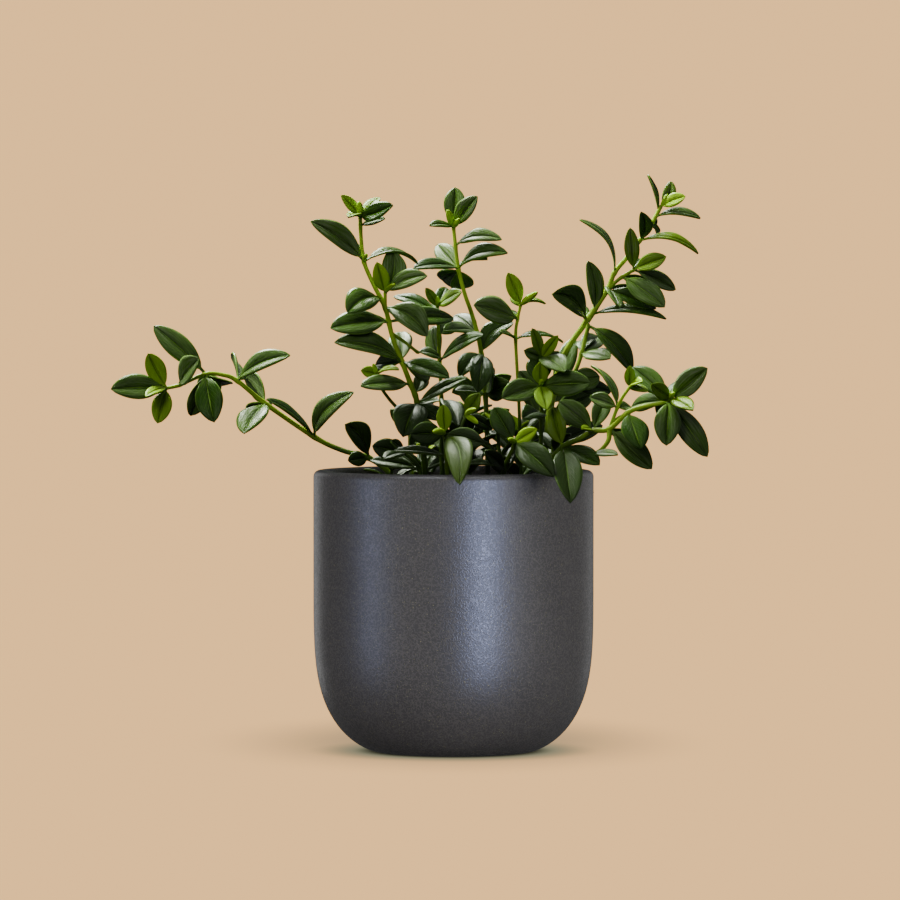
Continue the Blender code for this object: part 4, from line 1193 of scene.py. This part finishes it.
class PLANT_OT_pot(bpy.types.Operator):
    """Turn the pot and glaze it"""

    bl_idname = "plant.pot"
    bl_label = "Pot"

    def execute(self, context):
        looks = context.scene.plant_pot
        pot = model_pot(looks)
        pot.data.materials.append(paint_pot(looks))
        carry(pot, "pot", "pot")
        return {"FINISHED"}


class PLANT_OT_soil(bpy.types.Operator):
    """Fill the pot with crumbly soil"""

    bl_idname = "plant.soil"
    bl_label = "Soil"

    def execute(self, context):
        looks = context.scene.plant_soil
        soil = model_soil(looks, context.scene.plant_pot)
        soil.data.materials.append(paint_soil(looks))
        carry(soil, "soil", "soil")
        return {"FINISHED"}


class PLANT_OT_stems(bpy.types.Operator):
    """Grow every leafy stem from its plan"""

    bl_idname = "plant.stems"
    bl_label = "Leafy stems"

    def execute(self, context):
        looks = context.scene.plant_leaves
        stems = plant()
        missing = [name for name in stems if f"stem_{name}" not in frame["nodes"]]
        if missing:
            raise RuntimeError(f"no such stem in the frame: {missing}")
        blanks = {"leaf": model_leaf(), "bud": model_bud()}
        paints = {
            "upper": paint_leaf(looks, False),
            "under": paint_leaf(looks, True),
            "stem": paint_stem(looks),
        }
        for name, shoots in stems.items():
            piece = model_leafy_stem(f"leafy_{name}", shoots, blanks, looks, paints)
            carry(piece, "foliage", f"stem_{name}")
        for blank in blanks.values():
            bpy.data.objects.remove(blank)
        return {"FINISHED"}


class PLANT_OT_stage(bpy.types.Operator):
    """Set the floor, the surround, the lights and the camera"""

    bl_idname = "plant.stage"
    bl_label = "Stage"

    def execute(self, context):
        looks = context.scene.plant_stage
        lay_floor(looks)
        light_surround(context.scene, looks)
        hang_lights(context.scene)
        set_camera(context.scene, looks)
        return {"FINISHED"}


FLOOR_RADIUS = 40


def lay_floor(looks):
    nothing_selected()
    bpy.ops.mesh.primitive_circle_add(
        vertices=96, radius=FLOOR_RADIUS, fill_type="NGON", location=(0, 0, 0))
    floor = settle(bpy.context.object, "studio_floor")
    floor.data.materials.append(paint_floor(looks))
    floor.visible_diffuse = False
    floor.visible_glossy = False
    floor.visible_shadow = False


# Between which heights, from -1 below to 1 above, each light of the surround grows
OVERHEAD_RISE = (0.25, 0.95)
LEVEL_RISE = (-0.9, 0.1)


def light_surround(scene, looks):
    """A plain backdrop for the camera, and for the object a soft light that grows overhead."""
    scene.world = bpy.data.worlds.new("surround")
    scene.world.use_nodes = True
    nodes = Nodes(scene.world.node_tree)
    direction = nodes.node("ShaderNodeTexCoord", output="Generated")
    height = nodes.parts(direction)[2]
    overhead = nodes.step(height, *OVERHEAD_RISE) * (looks.zenith_light - looks.horizon_light)
    light = overhead + nodes.step(height, *LEVEL_RISE) * looks.horizon_light
    sockets = {"Color": looks.zenith, "Strength": light}
    dome = nodes.node("ShaderNodeBackground", {}, sockets)
    plain = {"Color": looks.surround, "Strength": looks.brightness}
    backdrop = nodes.node("ShaderNodeBackground", {}, plain)
    seen = nodes.node("ShaderNodeLightPath", output="Is Camera Ray")
    mixed = nodes.node("ShaderNodeMixShader", {}, {0: seen, 1: dome, 2: backdrop})
    nodes.fill(scene.world.node_tree.nodes["World Output"].inputs["Surface"], mixed)


# A soft box lights the pot, or the plant and the soil. "glossy" gives a highlight without other
# light, and "diffuse" gives light without a highlight.
Softbox = namedtuple("Softbox", "name place width tall power tint target kind")
SOFTBOXES = (
    Softbox("strip_right", (0.93, -2.05, 0.12), 0.22, 1.3, 56.0, (0.5, 0.6, 1.0), "pot", "glossy"),
    Softbox("strip_left", (-2.0, -0.75, 0.2), 0.24, 1.3, 12.0, (0.5, 0.6, 1.0), "pot", "glossy"),
    Softbox("rim_left", (-1.0, 1.9, 0.3), 0.5, 1.3, 2.6, (1, 1, 1), "pot", "glossy"),
    Softbox("rim_right", (1.1, 1.9, 0.3), 0.4, 1.3, 1.1, (1, 1, 1), "pot", "glossy"),
    Softbox("pot_top", (-0.2, -1.0, 2.2), 2.2, 0.5, 30.0, (0.9, 0.95, 1.0), "pot", "glossy"),
    Softbox("pot_fill_left", (-2.3, -2.3, 0.1), 1.8, 1.4, 44.0, (1, 0.97, 0.96), "pot", "diffuse"),
    Softbox("pot_fill_right", (2.4, -2.1, 0.1), 1.8, 1.4, 62.0, (1, 0.99, 0.98), "pot", "diffuse"),
    Softbox("pot_fill_behind", (0.3, 2.9, 0.6), 1.8, 1.4, 40.0, (1, 0.97, 0.96), "pot", "diffuse"),
    Softbox("overhead", (-0.6, 0.6, 1.6), 0.7, 0.7, 150.0, (1, 1, 0.96), "plant", "diffuse"),
    Softbox("over_sheen", (-0.5, 1.3, 1.6), 0.8, 0.8, 76.0, (0.97, 1.0, 0.9), "plant", "glossy"),
    Softbox("front", (-1.1, -2.4, 1.5), 0.8, 0.8, 28.0, (1, 0.98, 0.92), "plant", "diffuse"),
    Softbox("front_sheen", (-1.2, -2.0, 1.7), 0.5, 0.8, 4.5, (1, 1, 0.97), "plant", "glossy"),
)
AIM = Vector((0, 0, 0.15))


def hang_lights(scene):
    """Soft boxes, each for the pot alone or for the plant and the soil."""
    lit = {name: bpy.data.collections.new(f"{name}_lit") for name in ("pot", "plant")}
    for thing in scene.objects:
        if thing.type == "MESH" and thing.name != "studio_floor":
            lit["pot" if thing.name == "pot_turned" else "plant"].objects.link(thing)
    for box in SOFTBOXES:
        place = Vector(box.place)
        bpy.ops.object.light_add(type="AREA", location=place)
        light = bpy.context.object
        light.name = box.name
        light.rotation_euler = (AIM - place).to_track_quat("-Z", "Y").to_euler()
        light.data.shape = "RECTANGLE"
        light.data.size = box.width
        light.data.size_y = box.tall
        light.data.energy = box.power
        light.data.color = box.tint
        light.light_linking.receiver_collection = lit[box.target]
        light.visible_glossy = box.kind == "glossy"
        light.visible_diffuse = box.kind == "diffuse"


def set_camera(scene, looks):
    place = Vector((-looks.offset, -looks.camera_distance, looks.camera_height))
    aim = Vector((-looks.offset, 0, looks.aim_height))
    bpy.ops.object.camera_add(location=place)
    camera = bpy.context.object
    camera.rotation_euler = (aim - place).to_track_quat("-Z", "Y").to_euler()
    camera.data.lens = looks.lens
    scene.camera = camera


class PLANT_PT_sidebar(bpy.types.Panel):
    bl_label = "Potted goldfish plant"
    bl_space_type = "VIEW_3D"
    bl_region_type = "UI"
    bl_category = "Plant"

    def draw(self, context):
        for operator, group in STEPS:
            box = self.layout.box()
            box.operator(operator.bl_idname)
            looks = getattr(context.scene, group)
            for name in looks.bl_rna.properties.keys():
                if name not in ("rna_type", "name"):
                    box.prop(looks, name)


STEPS = (
    (PLANT_OT_pot, "plant_pot"),
    (PLANT_OT_soil, "plant_soil"),
    (PLANT_OT_stems, "plant_leaves"),
    (PLANT_OT_stage, "plant_stage"),
)
GROUPS = {
    "plant_pot": PotLooks,
    "plant_soil": SoilLooks,
    "plant_leaves": LeafLooks,
    "plant_stage": StageLooks,
}
CLASSES = (*GROUPS.values(), *(operator for operator, _ in STEPS), PLANT_PT_sidebar)


def register():
    for item in CLASSES:
        bpy.utils.register_class(item)
    for name, group in GROUPS.items():
        setattr(bpy.types.Scene, name, bpy.props.PointerProperty(type=group))


def unregister():
    for name in GROUPS:
        delattr(bpy.types.Scene, name)
    for item in reversed(CLASSES):
        bpy.utils.unregister_class(item)


def main():
    register()
    bpy.ops.plant.pot()
    bpy.ops.plant.soil()
    bpy.ops.plant.stems()
    bpy.ops.plant.stage()


if __name__ == "__main__":
    main()
